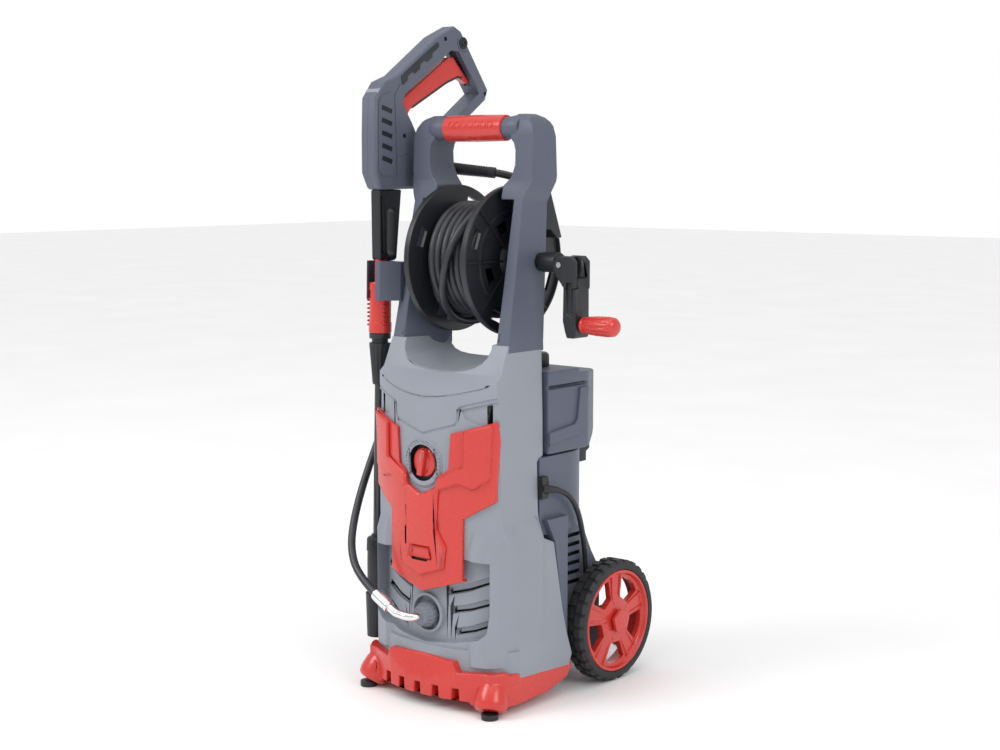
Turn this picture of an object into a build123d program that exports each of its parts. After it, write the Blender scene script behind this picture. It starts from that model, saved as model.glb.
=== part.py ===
from build123d import *
import math
import os

# Electric pressure washer with a hose reel, built upright on two wheels and two front feet.
# Design axes, in mm: X to the machine's left-to-right, front towards -Y, Z up from the floor.
# Y is zero at the wheel axle and X is zero in the machine's middle plane.

os.makedirs("parts", exist_ok=True)

# Driving dimensions
WALL = 3.0
SPAN = 400
CENTRE_X, CENTRE_Y = 36.0, -104.25  # middle of the machine's box in the design axes

WHEEL_R, WHEEL_IN, WHEEL_OUT = 90, 112, 148
RIM_R, AXLE_R, AXLE_Z = 76, 6, 90

BODY_TOP = 512
REAR_HALF = 96
MOTOR_Y = -85

ARM_INNER = 62
GRIP_Y, GRIP_Z, GRIP_R, GRIP_HALF = -150, 809, 18.5, 57

REEL_Y, REEL_Z = -134, 624
FLANGE_R, FLANGE_X, DRUM_R, WINDING_R = 106, 50, 60, 83
REEL_AXLE_R, RUNNING = 8, 0.05
FOLD_X, FOLD_Z = 150, 622
CRANK_Z = 540
HOOK_X, HOOK_Z, HOOK_PIN_R = 84, 702, 5

KNOB_Z, OUTLET_Z = 346, 128
HOSE_D, LEAD_D = 11.5, 8.0

GUN_X, GUN_HALF = -145, 15
LANCE_FOOT = Vector(-145, -212, 63)
LANCE_TOP = Vector(-145, -193, 722)
COIL_X, COIL_Y, COIL_IN, COIL_OUT, COIL_TALL = -30, 105, 31, 65, 34

pieces = {}


def mirrored(points):
    """Half an outline, from the middle outwards, completed on the other side of the middle plane."""
    return points + [(-x, z) for x, z in reversed(points)]


def keep(name, builder):
    pieces[name] = builder


# ---------------------------------------------------------------- body shells
HALF_FRONT = [(0, 24), (124, 24), (128, 60), (126, 225), (117, 262), (113, 415), (109, BODY_TOP)]
FRONT_LINE = [(-246, 53), (-262, 62), (-264, 190), (-264, 437), (-227, 470), (-210, BODY_TOP)]
BACK_LINE = [(-137, 512), (-140, 352), (-95, 352), (-95, 27)]
LOWER_REAR = [(-112, 29), (12, 40), (20, 50), (20, 158), (0, 188), (-40, 262), (-112, 262)]
FRONT_SHARE = [(-300, 0), (-104, 0), (-98, 59), (-128, 240), (-153, 275), (-153, 345), (-120, 353),
               (-120, 600), (-300, 600)]


def body_form(inset):
    """Outer form of the body, or its hollow when inset is the wall thickness."""
    with BuildPart() as form:
        with BuildSketch(Plane.XZ):
            Polygon(*mirrored(HALF_FRONT), align=None)
            if inset:
                offset(amount=-inset)
        extrude(amount=SPAN, both=True)
        with BuildSketch(Plane.YZ):
            Polygon(*FRONT_LINE, *BACK_LINE, align=None)
            if inset:
                offset(amount=-inset)
        extrude(amount=SPAN, both=True, mode=Mode.INTERSECT)
        with BuildSketch(Plane.XY):
            with BuildLine():
                ThreePointArc((-113, -234), (0, -264), (113, -234))
                Polyline((113, -234), (129, -208), (129, -60), (-129, -60), (-129, -208), (-113, -234))
            make_face()
            if inset:
                offset(amount=-inset)
        extrude(amount=600, mode=Mode.INTERSECT)
        with BuildSketch(Plane.XY.offset(238 + inset)):
            with BuildLine():
                ThreePointArc((-117, -85), (0, 8), (117, -85))
                Polyline((117, -85), (117, -150), (-117, -150), (-117, -85))
            make_face()
            if inset:
                offset(amount=-inset)
        extrude(amount=112 - 2 * inset)
        with BuildSketch(Plane.YZ):
            Polygon(*LOWER_REAR, align=None)
            if inset:
                offset(amount=-inset)
        extrude(amount=REAR_HALF - inset, both=True)
        with BuildSketch(Plane.XZ):
            with Locations((0, 557 - inset)):
                RectangleRounded(124 + 2 * inset, 140, 24)
        extrude(amount=SPAN, both=True, mode=Mode.SUBTRACT)
    return form.part


shell_outside = body_form(0)
shell_hollow = body_form(WALL)

with BuildPart() as front_housing:
    add(shell_outside)
    add(shell_hollow, mode=Mode.SUBTRACT)
    with BuildSketch(Plane.YZ):
        Polygon(*FRONT_SHARE, align=None)
    extrude(amount=SPAN, both=True, mode=Mode.INTERSECT)
    with BuildSketch(Plane.XZ.offset(249)):
        with Locations((0, KNOB_Z)):
            Circle(25)
    extrude(amount=13)
    with BuildSketch(Plane.XZ.offset(255)):
        with Locations((0, KNOB_Z)):
            Circle(21.5)
    extrude(amount=20, mode=Mode.SUBTRACT)
    with BuildSketch(Plane.XZ.offset(200)):
        with Locations((0, OUTLET_Z)):
            Circle(19)
        with Locations((0, KNOB_Z)):
            Circle(7)
        for slot_z in (84, 112, 140):
            with Locations((58, slot_z), (-58, slot_z)):
                SlotOverall(62, 9)
    extrude(amount=100, mode=Mode.SUBTRACT)
keep("front_housing", front_housing)

with BuildPart() as rear_housing:
    add(shell_outside)
    add(shell_hollow, mode=Mode.SUBTRACT)
    with BuildSketch(Plane.YZ):
        Polygon(*FRONT_SHARE, align=None)
    extrude(amount=SPAN, both=True, mode=Mode.SUBTRACT)
    with BuildSketch(Plane.YZ):
        with Locations((0, AXLE_Z)):
            Circle(AXLE_R + 9)
    extrude(amount=REAR_HALF, both=True)
    with BuildSketch(Plane.YZ):
        with Locations((0, AXLE_Z)):
            Circle(AXLE_R + RUNNING)
    extrude(amount=SPAN, both=True, mode=Mode.SUBTRACT)
    with BuildSketch(Plane.XZ.offset(-60)):
        with GridLocations(0, 14, 1, 5):
            with Locations((0, 300)):
                SlotOverall(70, 5)
    extrude(amount=70, mode=Mode.SUBTRACT)
keep("rear_housing", rear_housing)

# ---------------------------------------------------------------- red base tray and its feet
TRAY_SIDE = [(-276, 58), (-281, 40), (-276, 16), (-262, 10), (-130, 10), (-104, 26)]
FOOT_X, FOOT_Y, PAD_R, PAD_TALL = 117, -258, 12, 8


def tray_form(inset):
    """Outer form of the tray, or its hollow when inset is the wall thickness."""
    with BuildPart() as form:
        with BuildSketch(Plane.YZ):
            Polygon(*TRAY_SIDE, align=None)
            if inset:
                offset(amount=-inset)
        extrude(amount=SPAN, both=True)
        with BuildSketch(Plane.XY):
            with BuildLine():
                ThreePointArc((-122, -250), (0, -279), (122, -250))
                Polyline((122, -250), (131, -225), (129, -90), (-129, -90), (-131, -225), (-122, -250))
            make_face()
            if inset:
                offset(amount=-inset)
        extrude(amount=80, mode=Mode.INTERSECT)
    return form.part


with BuildPart() as base_tray:
    add(tray_form(0))
    with Locations((-FOOT_X, FOOT_Y, 24), (FOOT_X, FOOT_Y, 24)):
        Cylinder(17, 44)
    add(tray_form(WALL), mode=Mode.SUBTRACT)
    add(shell_outside, mode=Mode.SUBTRACT)
    with Locations((-FOOT_X, FOOT_Y, 2), (FOOT_X, FOOT_Y, 2)):
        Cylinder(PAD_R, PAD_TALL, align=(Align.CENTER, Align.CENTER, Align.MIN), mode=Mode.SUBTRACT)
    with BuildSketch(Plane.YZ):
        with Locations((0, AXLE_Z)):
            Circle(WHEEL_R + 3)
    extrude(amount=SPAN, both=True, mode=Mode.SUBTRACT)
keep("base_tray", base_tray)

with BuildPart() as front_feet:
    with Locations((-FOOT_X, FOOT_Y, 0), (FOOT_X, FOOT_Y, 0)):
        Cylinder(PAD_R, PAD_TALL, align=(Align.CENTER, Align.CENTER, Align.MIN))
keep("front_feet", front_feet)

# ---------------------------------------------------------------- red front cover, knob and outlet
HALF_COVER = [(0, 300), (30, 316), (34, 331), (54, 346), (56, 392), (113, 408), (117, 384), (112, 300),
              (66, 274), (66, 186), (0, 164)]

with BuildPart() as front_cover:
    with BuildSketch(Plane.XZ):
        Polygon(*mirrored(HALF_COVER), align=None)
    extrude(amount=SPAN)
    with BuildSketch(Plane.XY):
        with BuildLine():
            ThreePointArc((-117, -236), (0, -268), (117, -236))
            Polyline((117, -236), (121, -215), (-121, -215), (-117, -236))
        make_face()
    extrude(amount=600, mode=Mode.INTERSECT)
    add(shell_outside, mode=Mode.SUBTRACT)
keep("front_cover", front_cover)

with BuildPart() as knob:
    with BuildSketch(Plane.XZ.offset(255.5)):
        with Locations((0, KNOB_Z)):
            Circle(20)
    extrude(amount=6)
    with BuildSketch(Plane.XZ.offset(261.5)):
        with Locations((0, KNOB_Z)):
            SlotOverall(38, 10, rotation=90)
    extrude(amount=9)
    fillet(knob.faces().sort_by(Axis.Y).first.edges(), 2)
    with BuildSketch(Plane.XZ.offset(215)):
        with Locations((0, KNOB_Z)):
            Circle(6)
    extrude(amount=41)
keep("knob", knob)

with BuildPart() as switch_box:
    with Locations((0, -195, KNOB_Z)):
        Box(46, 38.6, 52)
    fillet(switch_box.edges().filter_by(Axis.Y), 4)
    with Locations((0, -215.2, KNOB_Z)):
        Cylinder(6.4, 5, rotation=(90, 0, 0), mode=Mode.SUBTRACT)
keep("switch_box", switch_box)

with BuildPart() as outlet_nut:
    with BuildSketch(Plane.XZ.offset(252)):
        with Locations((0, OUTLET_Z)):
            Circle(17)
            Circle(9.5, mode=Mode.SUBTRACT)
            with PolarLocations(17.6, 16):
                Circle(1.6, mode=Mode.SUBTRACT)
    extrude(amount=21)
keep("outlet_nut", outlet_nut)

ELBOW_END = Vector(-69, -290, 152)
FERRULE_START = Vector(-42, -290, 137)
with BuildPart() as outlet_elbow:
    with BuildLine():
        FilletPolyline((0, -247, OUTLET_Z), (0, -290, OUTLET_Z), (-30, -290, 131), ELBOW_END, radius=(16, 24))
    with BuildSketch(Plane(origin=(0, -247, OUTLET_Z), z_dir=(0, -1, 0))):
        Circle(6)
    sweep()
    ferrule_dir = ELBOW_END - FERRULE_START
    with BuildSketch(Plane(origin=FERRULE_START, z_dir=ferrule_dir)):
        Circle(8.5)
    extrude(amount=ferrule_dir.length)
    with BuildSketch(Plane.XZ.offset(247)):
        with Locations((0, OUTLET_Z)):
            Circle(9)
    extrude(amount=16)
keep("outlet_elbow", outlet_elbow)

# ---------------------------------------------------------------- motor, pump and water inlet
with BuildPart() as motor:
    with Locations((0, MOTOR_Y, 172)):
        Cylinder(46, 150, align=(Align.CENTER, Align.CENTER, Align.MIN))
    with Locations((0, MOTOR_Y, 186)):
        Cylinder(48, 118, align=(Align.CENTER, Align.CENTER, Align.MIN))
    with Locations((0, MOTOR_Y, 322)):
        Cylinder(30, 12, align=(Align.CENTER, Align.CENTER, Align.MIN))
keep("motor", motor)

with BuildPart() as pump:
    with Locations((0, MOTOR_Y, 52)):
        Cylinder(42, 119.7, align=(Align.CENTER, Align.CENTER, Align.MIN))
    with Locations((0, -150, OUTLET_Z)):
        Box(46, 70, 46)
    with BuildSketch(Plane.XZ.offset(180)):
        with Locations((0, OUTLET_Z)):
            Circle(9)
    extrude(amount=66.8)
    with BuildSketch(Plane.YZ):
        with Locations((0, AXLE_Z)):
            Circle(AXLE_R + 2)
    extrude(amount=SPAN, both=True, mode=Mode.SUBTRACT)
keep("pump", pump)

INLET_R, INLET_BORE = 13.2, 9.0
with BuildPart() as water_inlet:
    with BuildSketch(Plane.XZ.offset(-20)):
        with Locations((0, 128)):
            Circle(17)
    extrude(amount=-6)
    with BuildSketch(Plane.XZ.offset(-26)):
        with Locations((0, 128)):
            Circle(INLET_R)
    extrude(amount=-24)
    with BuildSketch(Plane.XZ.offset(-20)):
        with Locations((0, 128)):
            Circle(INLET_BORE)
    extrude(amount=-30, mode=Mode.SUBTRACT)
keep("water_inlet", water_inlet)

# ---------------------------------------------------------------- frame arms and handle
ARM_FRONT = [(ARM_INNER, BODY_TOP), (109, BODY_TOP), (101, 709), (113, 737), (113, 802), (94, 829),
             (ARM_INNER, 829)]
ARM_SIDE = [(-209, 512), (-169, 737), (-170, 829), (-116, 829), (-112, 740), (-118, 700), (-137, 512)]


def arm_form(side, inset):
    """Outer form of one arm, or its hollow when inset is the wall thickness."""
    with BuildPart() as form:
        with BuildSketch(Plane.XZ):
            Polygon(*[(side * x, z) for x, z in ARM_FRONT], align=None)
            if inset:
                offset(amount=-inset)
        extrude(amount=SPAN, both=True)
        with BuildSketch(Plane.YZ):
            Polygon(*ARM_SIDE, align=None)
            if inset:
                offset(amount=-inset)
        extrude(amount=SPAN, both=True, mode=Mode.INTERSECT)
    return form.part


def arm(side):
    """One hollow arm, with the bush seat for the reel."""
    with BuildPart() as frame_arm:
        add(arm_form(side, 0))
        add(arm_form(side, WALL), mode=Mode.SUBTRACT)
        for radius, mode in ((17, Mode.ADD), (12, Mode.SUBTRACT)):
            with BuildSketch(Plane.YZ.offset(side * (ARM_INNER + 0.2))):
                with Locations((REEL_Y, REEL_Z)):
                    Circle(radius)
            extrude(amount=side * (41 if mode == Mode.ADD else 60), mode=mode)
        with BuildSketch(Plane.YZ.offset(side * (ARM_INNER - 1))):
            with Locations((REEL_Y, REEL_Z)):
                Circle(12)
        extrude(amount=side * 60, mode=Mode.SUBTRACT)
        if side > 0:
            with BuildSketch(Plane.XZ.offset(100)):
                with Locations((HOOK_X, HOOK_Z)):
                    Circle(HOOK_PIN_R + RUNNING)
            extrude(amount=25, mode=Mode.SUBTRACT)
    return frame_arm


arm_left = arm(-1)
arm_right = arm(1)
keep("arm_left", arm_left)
keep("arm_right", arm_right)

with BuildPart() as handle_bar:
    with Locations((0, GRIP_Y, GRIP_Z)):
        Cylinder(13, 2 * ARM_INNER, rotation=(0, 90, 0))
keep("handle_bar", handle_bar)

with BuildPart() as handle_grip:
    with BuildSketch(Plane.YZ.offset(-GRIP_HALF)):
        with Locations((GRIP_Y, GRIP_Z)):
            Circle(GRIP_R)
            Circle(13, mode=Mode.SUBTRACT)
    extrude(amount=2 * GRIP_HALF)
    fillet(handle_grip.edges().filter_by(GeomType.CIRCLE).group_by(SortBy.RADIUS)[-1], 3)
keep("handle_grip", handle_grip)

# ---------------------------------------------------------------- reel
def reel_section(x, amount, outer, inner):
    """A ring or disc on the reel's axis, from x over amount."""
    with BuildPart() as section:
        with BuildSketch(Plane.YZ.offset(x)):
            with Locations((REEL_Y, REEL_Z)):
                Circle(outer)
                if inner:
                    Circle(inner, mode=Mode.SUBTRACT)
        extrude(amount=amount)
    return section.part


with BuildPart() as reel_bushes:
    for side in (-1, 1):
        add(reel_section(side * (ARM_INNER - 1), side * 40, 12, REEL_AXLE_R + RUNNING))
keep("reel_bushes", reel_bushes)

with BuildPart() as reel_axle:
    add(reel_section(-117.5, 227.5, REEL_AXLE_R, 0))
keep("reel_axle", reel_axle)

with BuildPart() as drum:
    add(reel_section(-FLANGE_X, 2 * FLANGE_X, DRUM_R, DRUM_R - 3))
    add(reel_section(-3, 6, DRUM_R - 3, REEL_AXLE_R))
keep("drum", drum)


def flange(side):
    """One flange: disc, outward rim, hub and eight webs."""
    with BuildPart() as disc:
        add(reel_section(side * FLANGE_X, side * 2.5, FLANGE_R, REEL_AXLE_R))
        add(reel_section(side * (FLANGE_X - 2), side * 10, FLANGE_R, FLANGE_R - 3))
        add(reel_section(side * FLANGE_X, side * 9, 20, REEL_AXLE_R))
        with BuildSketch(Plane.YZ.offset(side * (FLANGE_X + 2.5))):
            with Locations((REEL_Y, REEL_Z)):
                with PolarLocations(61, 8):
                    Rectangle(84, 2.4)
        extrude(amount=side * 4)
        with BuildSketch(Plane.YZ.offset(side * (FLANGE_X - 3))):
            with Locations((REEL_Y, REEL_Z)):
                with PolarLocations(80, 4, start_angle=22.5):
                    RectangleRounded(18, 26, 3)
        extrude(amount=side * 8, mode=Mode.SUBTRACT)
    return disc


flange_left = flange(-1)
flange_right = flange(1)
keep("flange_left", flange_left)
keep("flange_right", flange_right)

with BuildPart() as hose_coil:
    add(reel_section(-46.5, 93, WINDING_R, DRUM_R + 0.4))
keep("hose_coil", hose_coil)

# ---------------------------------------------------------------- crank
YOKE_IN, YOKE_OUT = 10.4, 18
with BuildPart() as crank_hub:
    with BuildSketch(Plane.YZ.offset(110)):
        with Locations((REEL_Y, REEL_Z)):
            Circle(14)
    extrude(amount=28)
    with Locations((148, REEL_Y, FOLD_Z)):
        Box(24, 20, 22)
    with Locations((FOLD_X, REEL_Y, FOLD_Z)):
        Cylinder(4.05, 40, rotation=(90, 0, 0), mode=Mode.SUBTRACT)
keep("crank_hub", crank_hub)

with BuildPart() as crank_arm:
    with BuildSketch(Plane.XZ.offset(-REEL_Y)):
        Polygon((156, 606), (178, 606), (178, 526), (160, 526), (156, 540), align=None)
    extrude(amount=YOKE_OUT - 2, both=True)
    for side in (-1, 1):
        with BuildSketch(Plane.XZ.offset(-REEL_Y + side * YOKE_IN)):
            with Locations((FOLD_X, FOLD_Z)):
                Circle(12)
            Polygon((150, 634), (172, 634), (178, 626), (178, 590), (160, 590), (141, 615), align=None)
        extrude(amount=side * (YOKE_OUT - YOKE_IN))
    with BuildSketch(Plane.YZ.offset(178)):
        with Locations((REEL_Y, CRANK_Z)):
            Circle(4)
    extrude(amount=56)
    with Locations((FOLD_X, REEL_Y, FOLD_Z)):
        Cylinder(4, 60, rotation=(90, 0, 0), mode=Mode.SUBTRACT)
keep("crank_arm", crank_arm)

with BuildPart() as fold_pin:
    with Locations((FOLD_X, REEL_Y, FOLD_Z)):
        Cylinder(4, 2 * YOKE_OUT, rotation=(90, 0, 0))
keep("fold_pin", fold_pin)

with BuildPart() as crank_grip:
    with BuildSketch(Plane.YZ.offset(178.5)):
        with Locations((REEL_Y, CRANK_Z)):
            Circle(14)
    extrude(amount=59)
    fillet(crank_grip.edges().filter_by(GeomType.CIRCLE), 3)
    with BuildSketch(Plane.YZ.offset(178)):
        with Locations((REEL_Y, CRANK_Z)):
            Circle(4 + RUNNING)
    extrude(amount=56.4, mode=Mode.SUBTRACT)
keep("crank_grip", crank_grip)

# ---------------------------------------------------------------- hose swivel on the reel's left end
SWIVEL_X, SWIVEL_END_Z = -128, 598
with BuildPart() as hose_swivel:
    add(reel_section(-136, 30, 13, 0))
    with Locations((SWIVEL_X, REEL_Y, SWIVEL_END_Z)):
        Cylinder(8.5, 26, align=(Align.CENTER, Align.CENTER, Align.MIN))
    with BuildSketch(Plane.YZ.offset(-118.5)):
        with Locations((REEL_Y, REEL_Z)):
            Circle(REEL_AXLE_R + RUNNING)
    extrude(amount=14, mode=Mode.SUBTRACT)
keep("hose_swivel", hose_swivel)

# ---------------------------------------------------------------- wheels
def wheel(side):
    """Tyre, rim and hub cap of one wheel."""
    width = WHEEL_OUT - WHEEL_IN
    with BuildPart() as tyre:
        with BuildSketch(Plane.YZ.offset(side * WHEEL_IN)):
            with Locations((0, AXLE_Z)):
                Circle(WHEEL_R)
                Circle(RIM_R, mode=Mode.SUBTRACT)
        extrude(amount=side * width)
        fillet(tyre.edges().filter_by(GeomType.CIRCLE).group_by(SortBy.RADIUS)[-1], 5)
    with BuildPart() as rim:
        with BuildSketch(Plane.YZ.offset(side * (WHEEL_IN + 1))):
            with Locations((0, AXLE_Z)):
                Circle(RIM_R)
                Circle(RIM_R - 4, mode=Mode.SUBTRACT)
        extrude(amount=side * (width - 3))
        with BuildSketch(Plane.YZ.offset(side * (WHEEL_OUT - 10))):
            with Locations((0, AXLE_Z)):
                Circle(RIM_R - 3)
                with PolarLocations(49, 5, start_angle=54):
                    Trapezoid(26, 24, 105, rotation=-90, mode=Mode.SUBTRACT)
        extrude(amount=side * 7)
        with BuildSketch(Plane.YZ.offset(side * (WHEEL_IN + 1))):
            with Locations((0, AXLE_Z)):
                Circle(16)
        extrude(amount=side * (width - 2))
        with BuildSketch(Plane.YZ.offset(side * WHEEL_IN)):
            with Locations((0, AXLE_Z)):
                Circle(AXLE_R + RUNNING)
        extrude(amount=side * width, mode=Mode.SUBTRACT)
    with BuildPart() as cap:
        with BuildSketch(Plane.YZ.offset(side * (WHEEL_OUT - 1))):
            with Locations((0, AXLE_Z)):
                RegularPolygon(19, 5, rotation=90)
        extrude(amount=side * 5, taper=12)
    return tyre, rim, cap


for side, word in ((-1, "left"), (1, "right")):
    for kind, piece in zip(("tyre", "rim", "hub_cap"), wheel(side)):
        keep(f"{kind}_{word}", piece)

with BuildPart() as wheel_axle:
    with Locations((0, 0, AXLE_Z)):
        Cylinder(AXLE_R, 2 * (WHEEL_OUT - 4), rotation=(0, 90, 0))
keep("wheel_axle", wheel_axle)

# ---------------------------------------------------------------- detergent tank, cap and cable hooks
TANK_SIDE = [(-140, 470), (-62, 470), (-62, 464), (10, 461), (10, 400), (-6, 366), (-30, 352),
             (-140, 352)]
TANK_PLAN = [(-119, -133), (-119, -40), (-96, 2), (96, 2), (119, -40), (119, -133)]
CAP_X, CAP_Y, CAP_R = 60, -88, 19


def tank_form(inset):
    """Outer form of the tank, or its hollow when inset is the wall thickness."""
    with BuildPart() as form:
        with BuildSketch(Plane.XY):
            Polygon(*TANK_PLAN, align=None)
            if inset:
                offset(amount=-inset)
        extrude(amount=500)
        with BuildSketch(Plane.YZ):
            Polygon(*TANK_SIDE, align=None)
            if inset:
                offset(amount=-inset)
        extrude(amount=SPAN, both=True, mode=Mode.INTERSECT)
    return form.part


with BuildPart() as detergent_tank:
    add(tank_form(0))
    add(tank_form(WALL), mode=Mode.SUBTRACT)
keep("detergent_tank", detergent_tank)

with BuildPart() as tank_cap:
    with Locations((CAP_X, CAP_Y, 470.4)):
        Cylinder(CAP_R, 20, align=(Align.CENTER, Align.CENTER, Align.MIN))
    fillet(tank_cap.faces().sort_by(Axis.Z).last.edges(), 3)
keep("tank_cap", tank_cap)

with BuildPart() as cable_hook:
    with BuildSketch(Plane.YZ.offset(HOOK_X - 11)):
        Polygon((-112, 722), (-99, 722), (-73, 655), (-84, 655), (-100, 668), (-112, 668), align=None)
    extrude(amount=22)
    with BuildSketch(Plane.XZ.offset(108)):
        with Locations((HOOK_X, HOOK_Z)):
            Circle(HOOK_PIN_R)
    extrude(amount=16)
keep("cable_hook", cable_hook)

with BuildPart() as lower_hook:
    with BuildSketch(Plane.YZ.offset(60)):
        Polygon((-40, 350), (12, 350), (12, 340), (4, 336), (4, 322), (-24, 322), align=None)
    extrude(amount=22)
    add(shell_outside, mode=Mode.SUBTRACT)
keep("lower_hook", lower_hook)

# ---------------------------------------------------------------- lance clip and cup
lance_dir = LANCE_TOP - LANCE_FOOT


def lance_plane(z):
    """Plane square to the lance where it is at height z."""
    share = (z - LANCE_FOOT.Z) / lance_dir.Z
    return Plane(origin=LANCE_FOOT + lance_dir * share, x_dir=(1, 0, 0), z_dir=lance_dir)


CLIP_IN, CLIP_OUT, CLIP_LOW, CLIP_HIGH = 17.4, 20.5, 563, 619
with BuildPart() as lance_clip:
    with BuildSketch(lance_plane(CLIP_LOW)):
        Circle(CLIP_OUT)
        Circle(CLIP_IN, mode=Mode.SUBTRACT)
        with Locations((0, -20)):
            Rectangle(22, 24, mode=Mode.SUBTRACT)
        with BuildLine():
            Polyline((15, 6), (15, 14), (46, 20), (46, -6), (27, -30), (18, -30), (18, -6), (15, 6))
        make_face()
        Circle(CLIP_IN, mode=Mode.SUBTRACT)
    extrude(amount=CLIP_HIGH - CLIP_LOW)
    add(arm_form(-1, 0), mode=Mode.SUBTRACT)
keep("lance_clip", lance_clip)

with BuildPart() as lance_cup:
    with BuildSketch(lance_plane(60)):
        Circle(14)
    with BuildSketch(lance_plane(126)):
        Circle(17)
    loft()
    with BuildSketch(lance_plane(60)):
        with Locations((16, 2)):
            Rectangle(18, 18)
    extrude(amount=50)
    with BuildSketch(lance_plane(63)):
        Circle(11.8)
    with BuildSketch(lance_plane(128)):
        Circle(15.2)
    loft(mode=Mode.SUBTRACT)
    add(shell_outside, mode=Mode.SUBTRACT)
    add(base_tray.part, mode=Mode.SUBTRACT)
keep("lance_cup", lance_cup)

# ---------------------------------------------------------------- lance
def on_lance(low, high, radius, top_radius=None):
    """Round bar or cone on the lance's axis between two heights."""
    with BuildPart() as bar:
        with BuildSketch(lance_plane(low)):
            Circle(radius)
        with BuildSketch(lance_plane(high)):
            Circle(top_radius or radius)
        loft()
    return bar.part


with BuildPart() as nozzle_tip:
    add(on_lance(70, 125, 10))
keep("nozzle_tip", nozzle_tip)

with BuildPart() as nozzle_body:
    add(on_lance(125.4, 190, 14.4, 15.4))
    add(on_lance(190, 209, 16.2))
    fillet(nozzle_body.edges().filter_by(GeomType.CIRCLE).sort_by(Axis.Z).last, 3)
    add(on_lance(209, 214, 10))
keep("nozzle_body", nozzle_body)

with BuildPart() as lance_tube:
    add(on_lance(214, 514, 7))
keep("lance_tube", lance_tube)

with BuildPart() as lance_nut:
    add(on_lance(439, 498, 10, 17))
    add(on_lance(498, 505, 12))
    add(on_lance(505, 514, 16.4))
    with BuildSketch(lance_plane(438)):
        Circle(7)
    extrude(amount=80, mode=Mode.SUBTRACT)
keep("lance_nut", lance_nut)

with BuildPart() as lance_coupling:
    add(on_lance(514, 588, 16.8))
    fillet(lance_coupling.edges().filter_by(GeomType.CIRCLE), 1.5)
keep("lance_coupling", lance_coupling)

with BuildPart() as gun_barrel:
    with BuildSketch(Plane.YZ.offset(GUN_X)):
        Polygon((-213, 721.6), (-211, 622), (-171, 622), (-160, 721.6), align=None)
        with Locations((-182, 661)):
            SlotOverall(66, 15, rotation=88, mode=Mode.SUBTRACT)
    extrude(amount=9, both=True)
    add(on_lance(588, 626, 9))
keep("gun_barrel", gun_barrel)

# ---------------------------------------------------------------- gun
GUN_OUTLINE = [(-222, 722), (-237, 747), (-233, 855), (-224, 867), (-204, 881), (-184, 880), (-173, 887),
               (-87, 947), (-56, 964), (-44, 964), (-33, 957), (28, 876), (30, 867), (22, 855),
               (-13, 832), (-112, 768), (-126, 768), (-126, 723), (-168, 723)]
LOOP_OUTLINE = [(-163, 846), (-157, 861), (-57, 928), (-40, 927), (6, 866), (-47, 829), (-122, 781),
                (-142, 816)]
TRIGGER_OUTLINE = [(-158, 846), (-153, 854), (-54, 918), (-43, 919), (-8, 884), (-11, 880), (-26, 887),
                   (-33, 888), (-137, 839), (-142, 833), (-143, 818), (-149, 826)]
TRIGGER_HALF, PIVOT_Y, PIVOT_Z, PIVOT_R = 6.5, -151, 840, 2


def gun_half(side):
    """One moulded half of the gun, hollow, closed along the split."""
    with BuildPart() as half:
        with BuildSketch(Plane.YZ.offset(GUN_X)):
            Polygon(*GUN_OUTLINE, align=None)
            Polygon(*LOOP_OUTLINE, align=None, mode=Mode.SUBTRACT)
        extrude(amount=side * GUN_HALF)
        chamfer(half.faces().sort_by(Axis.X)[-1 if side > 0 else 0].outer_wire().edges(), 3)
        with BuildSketch(Plane.YZ.offset(GUN_X)):
            Polygon((-167, 836), (-162, 866), (-60, 934), (-36, 933), (-12, 908), (2, 884), (-4, 876),
                    (-30, 880), (-134, 806), (-153, 812), align=None)
        extrude(amount=side * (TRIGGER_HALF + 0.7), mode=Mode.SUBTRACT)
        with BuildSketch(Plane.YZ.offset(GUN_X)):
            with Locations((PIVOT_Y, PIVOT_Z)):
                Circle(PIVOT_R)
        extrude(amount=side * (TRIGGER_HALF + 1))
        with BuildSketch(Plane.YZ.offset(GUN_X)):
            Polygon((-226, 750), (-226, 850), (-204, 870), (-180, 860), (-180, 750), align=None)
        extrude(amount=side * (GUN_HALF - 3), mode=Mode.SUBTRACT)
        with BuildSketch(Plane.YZ.offset(GUN_X)):
            with Locations((-30, 940)):
                Circle(5)
        extrude(amount=side * GUN_HALF, mode=Mode.SUBTRACT)
    return half


gun_shell_left = gun_half(-1)
gun_shell_right = gun_half(1)
keep("gun_shell_left", gun_shell_left)
keep("gun_shell_right", gun_shell_right)

with BuildPart() as trigger:
    with BuildSketch(Plane.YZ.offset(GUN_X)):
        Polygon(*TRIGGER_OUTLINE, align=None)
        with Locations((PIVOT_Y, PIVOT_Z)):
            Circle(PIVOT_R + RUNNING, mode=Mode.SUBTRACT)
    extrude(amount=TRIGGER_HALF, both=True)
keep("trigger", trigger)

with BuildPart() as lock_button:
    with Locations((GUN_X, -30, 940)):
        Cylinder(4.6, 2 * GUN_HALF + 5, rotation=(0, 90, 0))
keep("lock_button", lock_button)

RESTRICTOR_START = Vector(-127, -103, 756)
HOSE_RUN = [Vector(-38, -61, 746), Vector(-15.5, -52, 742), Vector(7, -47.5, 731.5), Vector(25, -46, 714),
            Vector(37.5, -46, 690.5), Vector(41, -44, 662), Vector(41, -45, 636)]
restrictor_dir = HOSE_RUN[0] - RESTRICTOR_START
with BuildPart() as gun_inlet:
    with Locations((-139, -112, 745)):
        Box(22, 27, 44)
    fillet(gun_inlet.edges().filter_by(Axis.Z), 4)
keep("gun_inlet", gun_inlet)

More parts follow.
